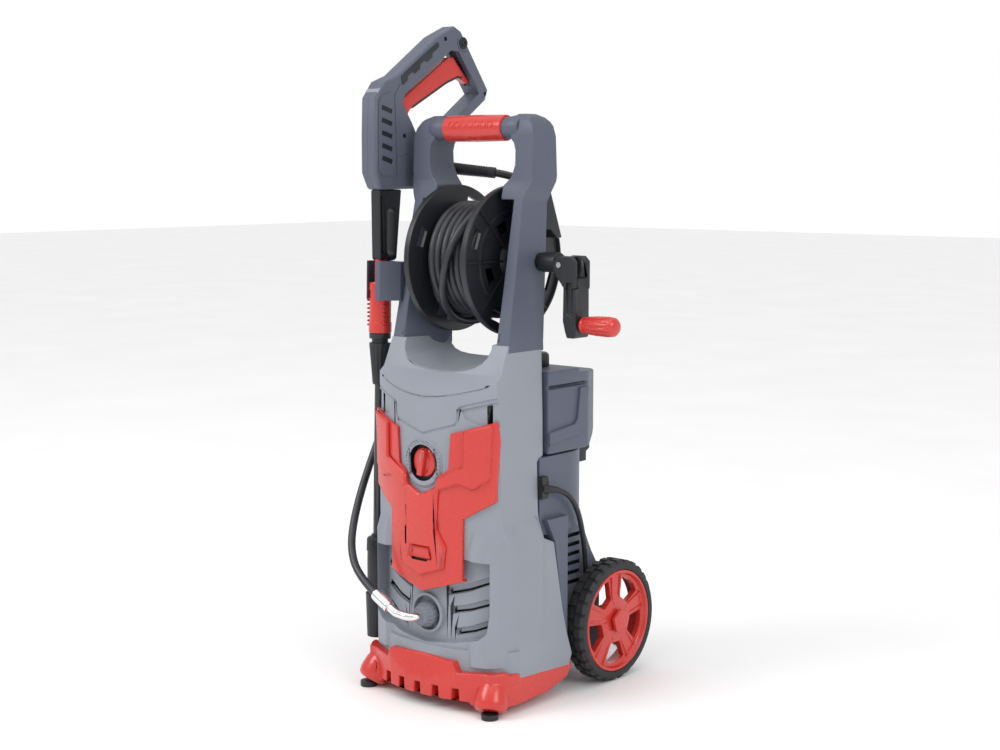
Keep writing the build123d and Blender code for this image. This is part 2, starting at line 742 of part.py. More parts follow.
with BuildPart() as bend_restrictor:
    with BuildSketch(Plane(origin=RESTRICTOR_START, z_dir=restrictor_dir)):
        Circle(9.5)
    with BuildSketch(Plane(origin=HOSE_RUN[0] - restrictor_dir * (0.9 / restrictor_dir.length),
                           z_dir=restrictor_dir)):
        Circle(8)
    loft()
keep("bend_restrictor", bend_restrictor)


# ---------------------------------------------------------------- hoses and power lead
def corner_radii(route):
    """Largest tangent arc at each corner: 0.45 of the shorter run over the tangent of half the turn."""
    radii = []
    for before, at, after in zip(route, route[1:], route[2:]):
        turn = math.radians((at - before).get_angle(after - at))
        radii.append(0.45 * min((at - before).length, (after - at).length) / math.tan(turn / 2))
    return radii


def cord(name, route, diameter):
    """Tube of straight runs joined by tangent arcs along the route."""
    radii = corner_radii(route)
    with BuildPart() as tube:
        with BuildLine():
            path = FilletPolyline(*route, radius=tuple(radii))
        with BuildSketch(Plane(origin=route[0], z_dir=route[1] - route[0])):
            Circle(diameter / 2)
        sweep()
    length = path.length
    expected = math.pi * diameter ** 2 / 4 * length
    print(name, "length", round(length), "radii", [round(r) for r in radii], "volume ratio",
          round(tube.part.volume / expected, 4))
    return tube


JUMPER_ROUTE = [ELBOW_END, Vector(-105, -289, 172), Vector(-138, -272, 204), Vector(-156, -245, 246),
                Vector(-165, -212, 300), Vector(-164, -180, 360), Vector(-155, -158, 430),
                Vector(-142, -145, 500), Vector(-130, -136, 556), Vector(SWIVEL_X, REEL_Y, SWIVEL_END_Z)]
LEAD_ROUTE = [Vector(124, -140, 306), Vector(131, -118, 302), Vector(132, -94, 286), Vector(127, -73, 261),
              Vector(118, -52, 230), Vector(109, -34, 196), Vector(104, -24, 158), Vector(103, -22, 116),
              Vector(103, -23, 80), Vector(103, -23, 42.5), Vector(103, -15.7, 24.8),
              Vector(103, -2.2, 11.3), Vector(102.5, 15.5, 4.1), Vector(101, 50, 4), Vector(93, 84, 4),
              Vector(76, 115, 4), Vector(50, 141, 4), Vector(16, 158, 4), Vector(-20, 165.5, 4)]

jumper_hose = cord("jumper_hose", JUMPER_ROUTE, HOSE_D)
gun_hose = cord("gun_hose", HOSE_RUN, HOSE_D)
power_cord = cord("power_cord", LEAD_ROUTE, LEAD_D)
keep("jumper_hose", jumper_hose)
keep("gun_hose", gun_hose)
keep("power_cord", power_cord)

with BuildPart() as cord_coil:
    with Locations((COIL_X, COIL_Y, 0)):
        Cylinder(COIL_OUT, COIL_TALL, align=(Align.CENTER, Align.CENTER, Align.MIN))
        Cylinder(COIL_IN, COIL_TALL, align=(Align.CENTER, Align.CENTER, Align.MIN), mode=Mode.SUBTRACT)
keep("cord_coil", cord_coil)

TAIL_START, TAIL_END = Vector(-26, 44, 28), Vector(22, 44, 14)
tail_dir = TAIL_END - TAIL_START
with BuildPart() as cord_tail:
    with BuildSketch(Plane(origin=TAIL_START, z_dir=tail_dir)):
        Circle(LEAD_D / 2)
    extrude(amount=tail_dir.length)
keep("cord_tail", cord_tail)

with BuildPart() as plug:
    with BuildSketch(Plane(origin=TAIL_END, z_dir=(1, 0, 0))):
        Circle(6)
    with BuildSketch(Plane(origin=TAIL_END + Vector(20, 0, 4), z_dir=(1, 0, 0))):
        Circle(13)
    loft()
    with BuildSketch(Plane(origin=TAIL_END + Vector(20, 0, 4), z_dir=(1, 0, 0))):
        Circle(18)
    extrude(amount=16)
    with BuildSketch(Plane(origin=TAIL_END + Vector(36, 0, 4), z_dir=(1, 0, 0))):
        with Locations((0, 9.5), (0, -9.5)):
            Circle(2.4)
    extrude(amount=19)
keep("plug", plug)

with BuildPart() as cord_gland:
    with Locations((119.5, -146, 308)):
        Box(9, 14, 32)
    with BuildSketch(Plane(origin=(121, -150, 307), z_dir=LEAD_ROUTE[1] - LEAD_ROUTE[0])):
        Circle(6.5)
    extrude(amount=10)
    add(shell_outside, mode=Mode.SUBTRACT)
    add(power_cord.part, mode=Mode.SUBTRACT)
keep("cord_gland", cord_gland)

with BuildPart() as housing_screws:
    for x in (-112, 112):
        for z in (160, 210):
            with BuildSketch(Plane.XZ.offset(97.9)):
                with Locations((x, z)):
                    Circle(3.5)
            extrude(amount=-4)
keep("housing_screws", housing_screws)

# ---------------------------------------------------------------- write every piece
for name, piece in pieces.items():
    piece.part.locate(Location((-CENTRE_X, -CENTRE_Y, 0)))
    piece.part.label = name
    export_step(piece.part, f"parts/{name}.step")
print(len(pieces), "pieces")
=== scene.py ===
import bpy
import math
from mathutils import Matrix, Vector


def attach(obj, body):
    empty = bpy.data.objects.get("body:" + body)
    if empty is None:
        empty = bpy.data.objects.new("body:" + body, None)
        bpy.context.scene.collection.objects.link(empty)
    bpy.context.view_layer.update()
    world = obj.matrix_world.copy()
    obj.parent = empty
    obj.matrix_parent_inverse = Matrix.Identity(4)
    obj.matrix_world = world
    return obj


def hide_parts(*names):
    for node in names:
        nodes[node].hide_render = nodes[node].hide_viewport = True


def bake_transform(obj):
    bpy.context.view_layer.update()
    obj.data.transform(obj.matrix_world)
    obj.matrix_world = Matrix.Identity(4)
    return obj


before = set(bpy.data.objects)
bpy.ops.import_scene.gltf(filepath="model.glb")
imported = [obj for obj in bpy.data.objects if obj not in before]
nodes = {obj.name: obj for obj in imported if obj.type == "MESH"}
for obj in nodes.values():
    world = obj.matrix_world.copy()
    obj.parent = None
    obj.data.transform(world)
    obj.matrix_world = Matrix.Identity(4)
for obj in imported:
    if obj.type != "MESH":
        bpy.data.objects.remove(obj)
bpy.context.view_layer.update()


# ------------ camera
# Stands in front of the machine and to its right, a little below the handle, and looks slightly down.
# Its lens is longer than a normal one, so the upright lines stay nearly parallel.

ORIGIN_X, ORIGIN_Y = 36.0, -104.25


def at(x, y, z):
    """A place given in mm from the middle plane, the wheel axle and the floor."""
    return Vector((x - ORIGIN_X, y - ORIGIN_Y, z)) / 1000


def placed(name, data):
    """Puts a new object with this data in the scene."""
    thing = bpy.data.objects.new(name, data)
    bpy.context.scene.collection.objects.link(thing)
    return thing


LOOK_DOWN, LOOK_ROUND = 7.17, 40.25
camera = placed("camera", bpy.data.cameras.new("camera"))
camera.location = at(1556, -1936, 756)
camera.rotation_euler = (math.radians(90 - LOOK_DOWN), 0, math.radians(LOOK_ROUND))
camera.data.lens = 59.76
camera.data.sensor_width = 36
bpy.context.scene.camera = camera
bpy.context.scene.view_settings.view_transform = "Standard"


# ------------ hoses and power lead
# The high pressure hose is a smooth black rubber tube. A short length joins the chrome outlet to the reel's
# swivel, the long one is wound on the drum, and its end runs to the gun. The lead has a thinner rubber sheath.

class Signal:
    """One output in a material's nodes, with the sums that the finishes use."""

    def __init__(self, tree, socket=None):
        self.tree = tree
        self.socket = socket

    def node(self, kind, inputs=(), output=0, **settings):
        """Adds a node, with its settings first and then the values or links of its inputs."""
        made = self.tree.nodes.new("ShaderNode" + kind)
        for name, value in settings.items():
            setattr(made, name, value)
        for name, value in dict(inputs).items():
            if isinstance(value, Signal):
                self.tree.links.new(value.socket, made.inputs[name])
            else:
                made.inputs[name].default_value = value
        return Signal(self.tree, made.outputs[output])

    def sum(self, operation, first, second):
        return self.node("Math", {0: first, 1: second}, operation=operation)

    def __add__(self, other):
        return self.sum("ADD", self, other)

    __radd__ = __add__

    def __mul__(self, other):
        return self.sum("MULTIPLY", self, other)

    __rmul__ = __mul__

    def between(self, low, high):
        """0 below low, 1 above high, and even in between."""
        return self.node("MapRange", {"Value": self, "From Min": low, "From Max": high})

    def tint(self, dark, light):
        """The colour between two colours, by this share."""
        return self.node("Mix", {0: self, 6: (*dark, 1), 7: (*light, 1)}, output=2, data_type="RGBA")


def finish(name, colour, roughness, height, distance, **constants):
    """Completes a material on its shader: colour, gloss, relief, and what is the same all over."""
    tree = colour.tree
    shader = tree.nodes["Principled BSDF"]
    for socket, value in constants.items():
        shader.inputs[socket.replace("_", " ")].default_value = value
    relief = colour.node("Bump", {"Height": height, "Strength": 0.6, "Distance": distance})
    tree.links.new(colour.socket, shader.inputs["Base Color"])
    tree.links.new(roughness.socket, shader.inputs["Roughness"])
    tree.links.new(relief.socket, shader.inputs["Normal"])
    return bpy.data.materials[name]


def new_skin(name):
    """A new material, and the place on the object that its patterns follow."""
    skin = bpy.data.materials.new(name)
    skin.use_nodes = True
    return Signal(skin.node_tree).node("TexCoord", output="Object")


def rubber(name, tone, gloss):
    """Extruded rubber: a faint bloom in the colour, dull patches in the gloss and a fine skin."""
    place = new_skin(name)
    bloom = place.node("TexNoise", {"Vector": place, "Scale": 35, "Detail": 5}).between(0.35, 0.7)
    skin = place.node("TexNoise", {"Vector": place, "Scale": 900, "Detail": 2})
    dark = tuple(0.7 * part for part in tone)
    light = tuple(1.5 * part for part in tone)
    return finish(name, bloom.tint(dark, light), bloom * 0.16 + gloss, skin, 0.0002, IOR=1.5)


hose_rubber = rubber("hose_rubber", (0.022, 0.024, 0.029), 0.3)
lead_rubber = rubber("lead_rubber", (0.014, 0.015, 0.018), 0.36)


def hose_line(name, route, diameter, skin):
    """A hose or lead on one smooth curve through its route."""
    line = bpy.data.curves.new(name, "CURVE")
    line.dimensions = "3D"
    line.resolution_u = 5
    line.bevel_depth = diameter / 2
    line.bevel_resolution = 5
    line.use_fill_caps = True
    spline = line.splines.new("NURBS")
    spline.points.add(len(route) - 1)
    for point, place in zip(spline.points, route):
        point.co = (*at(*place), 1)
    spline.order_u = 3
    spline.use_endpoint_u = True
    line.materials.append(skin)
    return placed(name, line)


HOSE, LEAD = 0.0115, 0.008

jumper_route = [(-69, -290, 152), (-105, -289, 172), (-138, -272, 204), (-156, -245, 246), (-165, -212, 300),
                (-164, -180, 360), (-155, -158, 430), (-142, -145, 500), (-130, -136, 556), (-128, -134, 598)]
jumper = hose_line("jumper_hose_line", jumper_route, HOSE, hose_rubber)
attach(jumper, "root")
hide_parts("jumper_hose")
at(-69, -290, 152)

REEL_Y, REEL_Z = -134, 624
DRUM_END = 40.4
INNER_TURNS, INNER_R = 6.5, 67.2
OUTER_TURNS, OUTER_R, OUTER_RUN = 6.75, 79, 78.5
TURN_POINTS = 16


def about(middle, radius, angle):
    """A point at this radius and angle round a middle point."""
    return (middle[0] + radius * math.cos(angle), middle[1] + radius * math.sin(angle))


def on_reel(x, radius, turn):
    """A place on the reel, at a radius and a number of turns from the rear, rising first."""
    return (x, *about((REEL_Y, REEL_Z), radius, 2 * math.pi * turn))


winding_route = []
for step in range(int(INNER_TURNS * TURN_POINTS) + 1):
    turn = step / TURN_POINTS
    winding_route.append(on_reel(DRUM_END - 2 * DRUM_END * turn / INNER_TURNS, INNER_R, turn))
for step in range(2, int(OUTER_TURNS * TURN_POINTS) + 1):
    turn = step / TURN_POINTS
    lean = 0.5 * math.sin(9 * turn)
    x = -DRUM_END + OUTER_RUN * turn / OUTER_TURNS + lean
    winding_route.append(on_reel(x, OUTER_R, turn + INNER_TURNS))

# the last turn crosses the others and leaves the winding towards the gun
start_turn = INNER_TURNS + OUTER_TURNS
for x, radius, turn in ((37, 86, 0.06), (29, 91, 0.14), (17, 92, 0.21), (3, 92, 0.28), (-12, 92, 0.35),
                        (-23, 92, 0.42), (-26, 92, 0.49), (-18, 92, 0.56), (0, 92, 0.62), (20, 92, 0.68),
                        (36, 91, 0.73), (41, 90, 0.755)):
    winding_route.append(on_reel(x, radius, turn + start_turn))
winding_route.append((41, -45, 636))
winding = hose_line("wound_hose", winding_route, HOSE, hose_rubber)
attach(winding, "reel")
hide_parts("hose_coil")
at(*winding_route[0])

gun_route = [(-38, -61, 746), (-15.5, -52, 742), (7, -47.5, 731.5), (25, -46, 714), (37.5, -46, 690.5),
             (41, -44, 662), (41, -45, 636)]
gun_line = hose_line("gun_hose_line", gun_route, HOSE, hose_rubber)
gun_line.data.resolution_u = 10
tube_mesh = bpy.data.meshes.new_from_object(gun_line)
gun_line.data.bevel_depth = 0
gun_path = [vertex.co[:] for vertex in bpy.data.meshes.new_from_object(gun_line).vertices]
bpy.data.objects.remove(gun_line)
gun_tube = placed("gun_hose_run", tube_mesh)
tube_mesh.shade_smooth()
at(41, -45, 650)
at(-34, -59, 746)
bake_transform(gun_tube)
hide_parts("gun_hose")
at(-38, -61, 746)

COIL_MIDDLE = (-30, 105)
COIL_OUTER, COIL_INNER = 60.8, 35.0
ROWS, ROW_TURNS, ROW_RISE = 4, 3.625, 8.4
CLIMB_FROM, CLIMB_SHARE = 0.93, 0.07
LEAD_REST = 4
lead_route = [(124, -140, 306), (131, -118, 302), (132, -94, 286), (127, -73, 261), (118, -52, 230),
              (109, -34, 196), (104, -24, 158), (103, -22, 116), (103, -23, 80), (103, -23, 42.5),
              (103, -15.7, 24.8), (103, -2.2, 11.3), (102.5, 15.5, 4.1), (101, 50, 4), (93, 84, 4),
              (76, 115, 4), (50, 141, 4), (16, 158, 4), (-20, 165.5, 4)]
for row in range(ROWS):
    for step in range(1, int(ROW_TURNS * TURN_POINTS) + 1):
        turn = step / TURN_POINTS
        share = turn / ROW_TURNS
        along = share if row % 2 == 0 else 1 - share
        radius = (COIL_OUTER + (COIL_INNER - COIL_OUTER) * along) * 1.01
        climb = max(0.0, share - CLIMB_FROM) / CLIMB_SHARE if row < ROWS - 1 else 0
        angle = 2 * math.pi * (0.25 + row * ROW_TURNS + turn)
        lead_route.append((*about(COIL_MIDDLE, radius, angle), LEAD_REST + ROW_RISE * (row + climb)))
lead_route += [(-19, 43.4, 28), (-4, 43.5, 24), (10, 44, 17), (22, 44, 14)]
lead = hose_line("power_lead", lead_route, LEAD, lead_rubber)
lead.data.resolution_u = 3
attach(lead, "root")
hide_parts("power_cord", "cord_coil", "cord_tail")
at(124, -140, 306)


# ------------ front housing
# The light grey shell that faces the user, injection moulded with a fine satin grain. Its front is bowed, its
# upper edge is dished under the reel, and its foot has a sunk louvred bay round the water outlet.

def moulded(name, tone, gloss, grain=1300, **constants):
    """Moulded plastic: faint flow marks in the colour, handling marks in the gloss and a fine grain."""
    place = new_skin(name)
    flow = place.node("TexNoise", {"Vector": place, "Scale": 7, "Detail": 4}).between(0.3, 0.7)
    marks = place.node("TexNoise", {"Vector": place, "Scale": 55, "Detail": 6, "Roughness": 0.65})
    skin = place.node("TexNoise", {"Vector": place, "Scale": grain, "Detail": 2})
    dark = tuple(0.955 * part for part in tone)
    light = tuple(1.035 * part for part in tone)
    return finish(name, flow.tint(dark, light), marks.between(0.3, 0.75) * 0.08 + gloss, skin, 0.00025,
                  **constants)


light_grey = moulded("light_grey_plastic", (0.255, 0.275, 0.318), 0.42, IOR=1.46)
dark_grey = moulded("dark_grey_plastic", (0.085, 0.097, 0.138), 0.4, IOR=1.46)
black = moulded("black_plastic", (0.013, 0.0145, 0.018), 0.36, IOR=1.46)
red = moulded("red_plastic", (0.56, 0.032, 0.024), 0.24, grain=500, IOR=1.47, Coat_Weight=0.3,
              Coat_Roughness=0.08)


def only(piece):
    """Picks this piece alone."""
    bpy.ops.object.select_all(action="DESELECT")
    piece.select_set(True)
    bpy.context.view_layer.objects.active = piece


def board(name, outline, facing, start, depth):
    """A flat board of this outline, from start over its depth along the axis that it faces."""
    bpy.ops.object.select_all(action="DESELECT")
    bpy.ops.mesh.primitive_circle_add(vertices=len(outline), radius=1, fill_type="NGON")
    piece = bpy.context.object
    piece.name = name
    for corner, (a, b) in zip(piece.data.vertices, outline):
        corner.co = {"x": at(start, a, b), "y": at(a, start, b), "z": at(a, b, start)}[facing]
    push = [depth / 1000 if axis == facing else 0 for axis in "xyz"]
    bpy.ops.object.mode_set(mode="EDIT")
    bpy.ops.mesh.select_all(action="SELECT")
    bpy.ops.mesh.extrude_region_move(TRANSFORM_OT_translate={"value": push})
    bpy.ops.mesh.select_all(action="SELECT")
    bpy.ops.mesh.normals_make_consistent(inside=False)
    bpy.ops.object.mode_set(mode="OBJECT")
    return piece


def work(piece, tool, operation="DIFFERENCE"):
    """Cuts the piece with a tool, joins it or crosses it, and uses the tool up."""
    step = piece.modifiers.new("work", "BOOLEAN")
    step.operation = operation
    step.object = tool
    step.solver = "EXACT"
    step.material_mode = "TRANSFER"
    only(piece)
    bpy.ops.object.modifier_apply(modifier="work")
    bpy.data.objects.remove(tool)
    return piece


def side_cut(piece, outline):
    """Leaves of a piece what fits this outline seen from the side."""
    return work(piece, board("side", outline, "x", -200, 400), "INTERSECT")


def smoothed(piece, angle=38):
    """Smooths the faces that meet at less than this angle, led by the large ones."""
    only(piece)
    bpy.ops.object.shade_smooth_by_angle(angle=math.radians(angle))
    lead_faces = piece.modifiers.new("normals", "WEIGHTED_NORMAL")
    lead_faces.keep_sharp = True
    bpy.ops.object.modifier_apply(modifier="normals")
    return piece


def soften(piece, width, segments=2, sharp=28):
    """Rounds the edges that are sharper than this and smooths the curved faces between them."""
    only(piece)
    bpy.ops.object.mode_set(mode="EDIT")
    bpy.ops.mesh.select_all(action="SELECT")
    bpy.ops.mesh.remove_doubles(threshold=0.00002)
    bpy.ops.mesh.dissolve_limited(angle_limit=math.radians(0.5), delimit={"MATERIAL"})
    bpy.ops.object.mode_set(mode="OBJECT")
    edge = piece.modifiers.new("edge", "BEVEL")
    edge.width = width / 1000
    edge.segments = segments
    edge.limit_method = "ANGLE"
    edge.angle_limit = math.radians(sharp)
    edge.use_clamp_overlap = False
    bpy.ops.object.modifier_apply(modifier="edge")
    return smoothed(piece)


def dress(piece, skin, body, slot, *stands_for):
    """Gives a finished piece its skin, its body and the frame parts that it stands for. The slot is not used.
    """
    if not piece.data.materials:
        piece.data.materials.append(skin)
    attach(piece, body)
    if stands_for:
        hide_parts(*stands_for)
    return piece


def painted(form, skin):
    """Gives a plain form its skin, which the faces it cuts take too."""
    form.data.materials.append(skin)
    return form


def both_ways(half):
    """Half an outline, from the middle plane, completed on the other side."""
    return half + [(-a, b) for a, b in reversed(half) if a > 0.01]


BOW_Y, BOW_R = -36.2, 227.8


def bowed(name, proud):
    """A tall block whose front is the housing's bow, moved out by this much."""
    arc = [(step * 129 / 20, BOW_Y - math.sqrt((BOW_R + proud) ** 2 - (step * 129 / 20) ** 2))
           for step in range(-20, 21)]
    return board(name, [(-129, 0), *arc, (129, 0)], "z", -10, 900)


def on_bow(name, outline, low, high):
    """A plate on the bowed front, between two heights over it, with this outline seen from the front."""
    plate = board(name, outline, "y", -310, 300)
    work(plate, bowed("outside", high), "INTERSECT")
    work(plate, bowed("inside", low))
    plate.data.materials.clear()
    return plate


def strip(line, width):
    """The outline of a strip of this width along a line of points."""
    left, right = [], []
    for i, here in enumerate(line):
        before, after = line[max(i - 1, 0)], line[min(i + 1, len(line) - 1)]
        run, rise = after[0] - before[0], after[1] - before[1]
        size = math.hypot(run, rise)
        aside = (-rise / size * width / 2, run / size * width / 2)
        left.append((here[0] + aside[0], here[1] + aside[1]))
        right.append((here[0] - aside[0], here[1] - aside[1]))
    return left + right[::-1]


def round_outline(x, z, radius, steps=40):
    """A round outline of this radius about a centre."""
    return [about((x, z), radius, 2 * math.pi * i / steps) for i in range(steps)]


BODY_FRONT = both_ways([(0, 24), (126, 24), (136, 62), (131, 92), (128, 130), (126, 225), (117, 262),
                        (113, 415), (109, 512)])
FRONT_SIDE = [(-246, 53), (-266, 60), (-269, 74), (-264, 96), (-264, 441), (-227, 471), (-210, 512),
              (-137, 512), (-140, 353), (-153, 345), (-153, 275), (-147, 236), (-128, 228), (-98, 59),
              (-100, 27)]
housing = painted(board("front_housing_shell", BODY_FRONT, "y", -310, 300), light_grey)
side_cut(housing, FRONT_SIDE)
housing_plan = board("plan", [(-138, -60), (-138, -200), (-129, -212), (-113, -234)]
                     + [(x, BOW_Y - math.sqrt(BOW_R ** 2 - x ** 2)) for x in range(-104, 105, 8)]
                     + [(113, -234), (129, -212), (138, -200), (138, -60)], "z", -10, 700)
skirt_plan = board("skirt", [(-139, -60), (-139, -200), (-126, -226)]
                   + [(x, BOW_Y - 4 - math.sqrt(BOW_R ** 2 - x ** 2)) for x in range(-112, 113, 8)]
                   + [(126, -226), (139, -200), (139, -60)], "z", -10, 98)
work(housing_plan, skirt_plan, "UNION")
work(housing, housing_plan, "INTERSECT")

# the fuller corners of the lower body, each with a sloping facet on top
CORNER_PLAN = [(66, -251), (82, -257), (104, -250), (121, -233), (130, -206), (131, -158), (90, -158)]
CORNER_TOP = [(66, -248), (80, -245), (103, -236), (112, -229), (116, -206), (117, -158), (90, -158)]
for side in (1, -1):
    for low, high, top in ((66, 232, CORNER_PLAN), (232, 268, CORNER_TOP)):
        fuller = board("corner", [(side * x, y) for x, y in CORNER_PLAN], "z", low, high - low)
        for corner, (x, y) in zip(fuller.data.vertices[len(top):], top):
            corner.co = at(side * x, y, high)
        work(housing, fuller, "UNION")

# the dished dip under the reel
DIP_FRONT = [(0, 470.5), (26, 471.5), (45, 474.5), (62, 480), (73, 486), (80, 494), (84, 504), (86, 540)]
DIP_BACK = [(0, 487), (24, 487.5), (40, 489.5), (50, 493), (57, 499), (60, 506), (62, 514), (62, 540)]
dip = board("dip", both_ways(DIP_FRONT), "y", -224, 90)
for corner, (x, z) in zip(dip.data.vertices[len(both_ways(DIP_FRONT)):], both_ways(DIP_BACK)):
    corner.co = at(x, -134, z)
work(housing, dip)
work(housing, board("dip_mouth", both_ways(DIP_FRONT), "y", -290, 66.5))

# the step below the shoulder, the long groove and the sunk corner with its vent
GROOVE = [(0, 387.4), (52.7, 402.6), (56.8, 408), (58.8, 424), (63, 428.5), (116, 443)]
for side in (1, -1):
    groove = [(side * x, z) for x, z in GROOVE]
    for part in (groove[:2], groove[1:4], groove[3:]):
        work(housing, on_bow("groove", strip(part, 2.6), -1.3, 6))
    corner = [(62, 424.5), (118, 439.5), (118, 404), (88, 403.5), (69, 413)]
    work(housing, on_bow("corner", [(side * x, z) for x, z in corner], -3.2, 6))
    # the vent's walls are painted black: painted shade inside the opening
    slot = [(side * x, z) for x, z in [(97.5, 407), (97.5, 431), (103.5, 432.5), (103.5, 407)]]
    work(housing, painted(on_bow("vent", slot, -16, 6), black))
shelf = [(x, 440 + 0.00185 * x * x) for x in range(-100, 101, 10)]
work(housing, on_bow("shelf", strip(shelf, 1.8), -1.4, 6))

# the knob's dished seat and its socket, with its fine marks
KNOB_Z = 346
TICKS, FIRST_TICK, TICK_SPAN = 28, -40, 260
for radius, proud in ((34.5, 1.3), (32.6, 2.6)):
    work(housing, on_bow("seat", round_outline(0, KNOB_Z, radius), -2, proud), "UNION")
# the socket's walls are painted black: painted shade in the gap round the knob
work(housing, painted(board("socket", round_outline(0, KNOB_Z, 25.5), "y", -300, 45), black))
for mark in range(TICKS):
    turn = math.radians(FIRST_TICK + mark * TICK_SPAN / (TICKS - 1))
    ends = [about((0, KNOB_Z), radius, turn) for radius in (28.2, 31.2)]
    tick = on_bow("tick", strip(ends, 0.8), 1.0, 3.2)
    work(housing, painted(tick, light_grey), "UNION")

# the sunk bay at the foot, its louvres and the ring round the outlet
BAY_FRONT = both_ways([(0, 90), (50, 95), (92, 105), (104, 116), (107, 140), (107, 214), (60, 216), (0, 216)])
RING_Z = 130
work(housing, on_bow("bay", BAY_FRONT, -10.4, 16))
for side in (1, -1):
    for left, right in (((34, 165), (96, 186)), ((40, 139), (95, 155)), ((47, 108.5), (96, 124.6))):
        line = [(side * left[0], left[1]), (side * (left[0] + right[0]) / 2, (left[1] + right[1]) / 2 - 2),
                (side * right[0], right[1])]
        work(housing, on_bow("cup", strip(line, 10.5), -15.5, -6))
        # each louvre's slit has its walls painted black: painted shade inside the opening
        slit = [(x + side * 1.5, z - 3) for x, z in line]
        work(housing, painted(on_bow("slit", strip(slit, 3.7), -23, -7), black))
work(housing, board("ring", round_outline(0, RING_Z, 29), "y", -258.5, 14), "UNION")
work(housing, board("well", round_outline(0, RING_Z, 24.5), "y", -300, 52))
soften(housing, 0.9, 2, 30)
dress(housing, light_grey, "root", "light_grey", "front_housing")


# ------------ rear housing
# The dark grey shell behind the seam, moulded in one piece round the motor and pump, with cooling slots at
# the back and a boss for the wheel axle. Six screws pull it against the front shell.
REAR_PLAN = [(-127.6, -156), (127.6, -156), (127.6, -98), (96, -92), (96, 20), (-96, 20), (-96, -92),
             (-127.6, -98)]
REAR_SIDE = [(-127.7, 229), (-97.7, 59), (-97, 27), (12, 40), (20, 50), (20, 158), (0, 188), (-40, 262),
             (-146, 262)]
UPPER_SIDE = [(-152.7, 200), (-152.7, 380), (60, 380), (60, 200), (-132, 200), (-148, 240)]
AXLE_Z = 90
rear = painted(board("rear_housing_shell", REAR_PLAN, "z", 27, 235), dark_grey)
side_cut(rear, REAR_SIDE)
upper_back = [(117 * math.cos(math.radians(a)), -85 + 93 * math.sin(math.radians(a)))
              for a in range(6, 180, 6)]
upper_plan = [(-117, -150), (117, -150), (117, -85), *upper_back, (-117, -85)]
upper = side_cut(board("upper", upper_plan, "z", 238, 112), UPPER_SIDE)
work(rear, upper, "UNION")
for slot in range(6):
    rise = 14 * slot
    for side in (-1, 1):
        # the back and side slots have their walls painted black: painted shade inside the openings
        back_slot = strip([(side * 12, 258 + rise), (side * 62, 258 + rise)], 5)
        work(rear, painted(board("slot", back_slot, "y", -40, 80), black))
        side_slot = strip([(-70, 150 + rise), (-30, 150 + rise)], 5)
        work(rear, painted(board("side_slot", side_slot, "x", side * 93 - 5, 10), black))
work(rear, board("panel", [(-70, 60), (70, 60), (70, 84), (-70, 84)], "y", 17, 6))
for rib in range(5):
    x = -60 + 30 * rib
    work(rear, board("rib", [(x - 2, 36), (x + 2, 36), (x + 2, 50), (x - 2, 50)], "y", 0, 22), "UNION")
work(rear, board("axle_boss", round_outline(0, AXLE_Z, 17), "x", -99, 198), "UNION")
work(rear, board("axle_hole", round_outline(0, AXLE_Z, 6.6), "x", -120, 240))
soften(rear, 1.2, 2, 42)
dress(rear, dark_grey, "root", "dark_grey", "rear_housing")


# ------------ red front cover
# A glossy red moulding that snaps onto the bowed front. It is a flat frame with a raised Y on it: two wings
# beside the knob run down into the middle panel, and every edge of the raised part has a broad flat chamfer.
COVER_BASE = [(0, 301), (28, 314), (30, 330), (46, 341), (48, 368), (50, 392), (60, 394), (113, 411),
              (116, 384), (112, 318), (112, 300), (68, 273), (67, 192), (71, 186), (0, 164)]
COVER_RAISED = [(0, 302), (27, 315.5), (29, 328), (71, 348), (71, 396.5), (110, 408), (107, 372), (106, 330),
                (92, 321), (85, 315), (65, 322), (32, 310), (28, 258), (44, 232), (40, 200), (0, 186)]
cover = painted(on_bow("red_cover", both_ways(COVER_BASE), -0.6, 4.5), red)
soften(cover, 1.2, 2, 50)
raised = painted(on_bow("raised", both_ways(COVER_RAISED), -0.5, 9.6), red)
work(raised, on_bow("recess", [(-17, 228), (17, 228), (21, 213), (-21, 213)], 6.6, 20))
soften(raised, 2.8, 1, 50)
# the slit under the recess has its walls painted black: painted shade inside it
work(raised, painted(on_bow("slit", [(-16, 212), (16, 212), (14, 208.5), (-14, 208.5)], 5.4, 20), black))
only(raised)
cover.select_set(True)
bpy.context.view_layer.objects.active = cover
bpy.ops.object.join()
dress(cover, red, "root", "red", "front_cover")


# ------------ rotary switch knob
# A red moulded disc with a finger rib across it, and a fine light grey line painted along the rib as its
# highlight. It clips onto the switch shaft and turns a quarter turn in the dished seat.

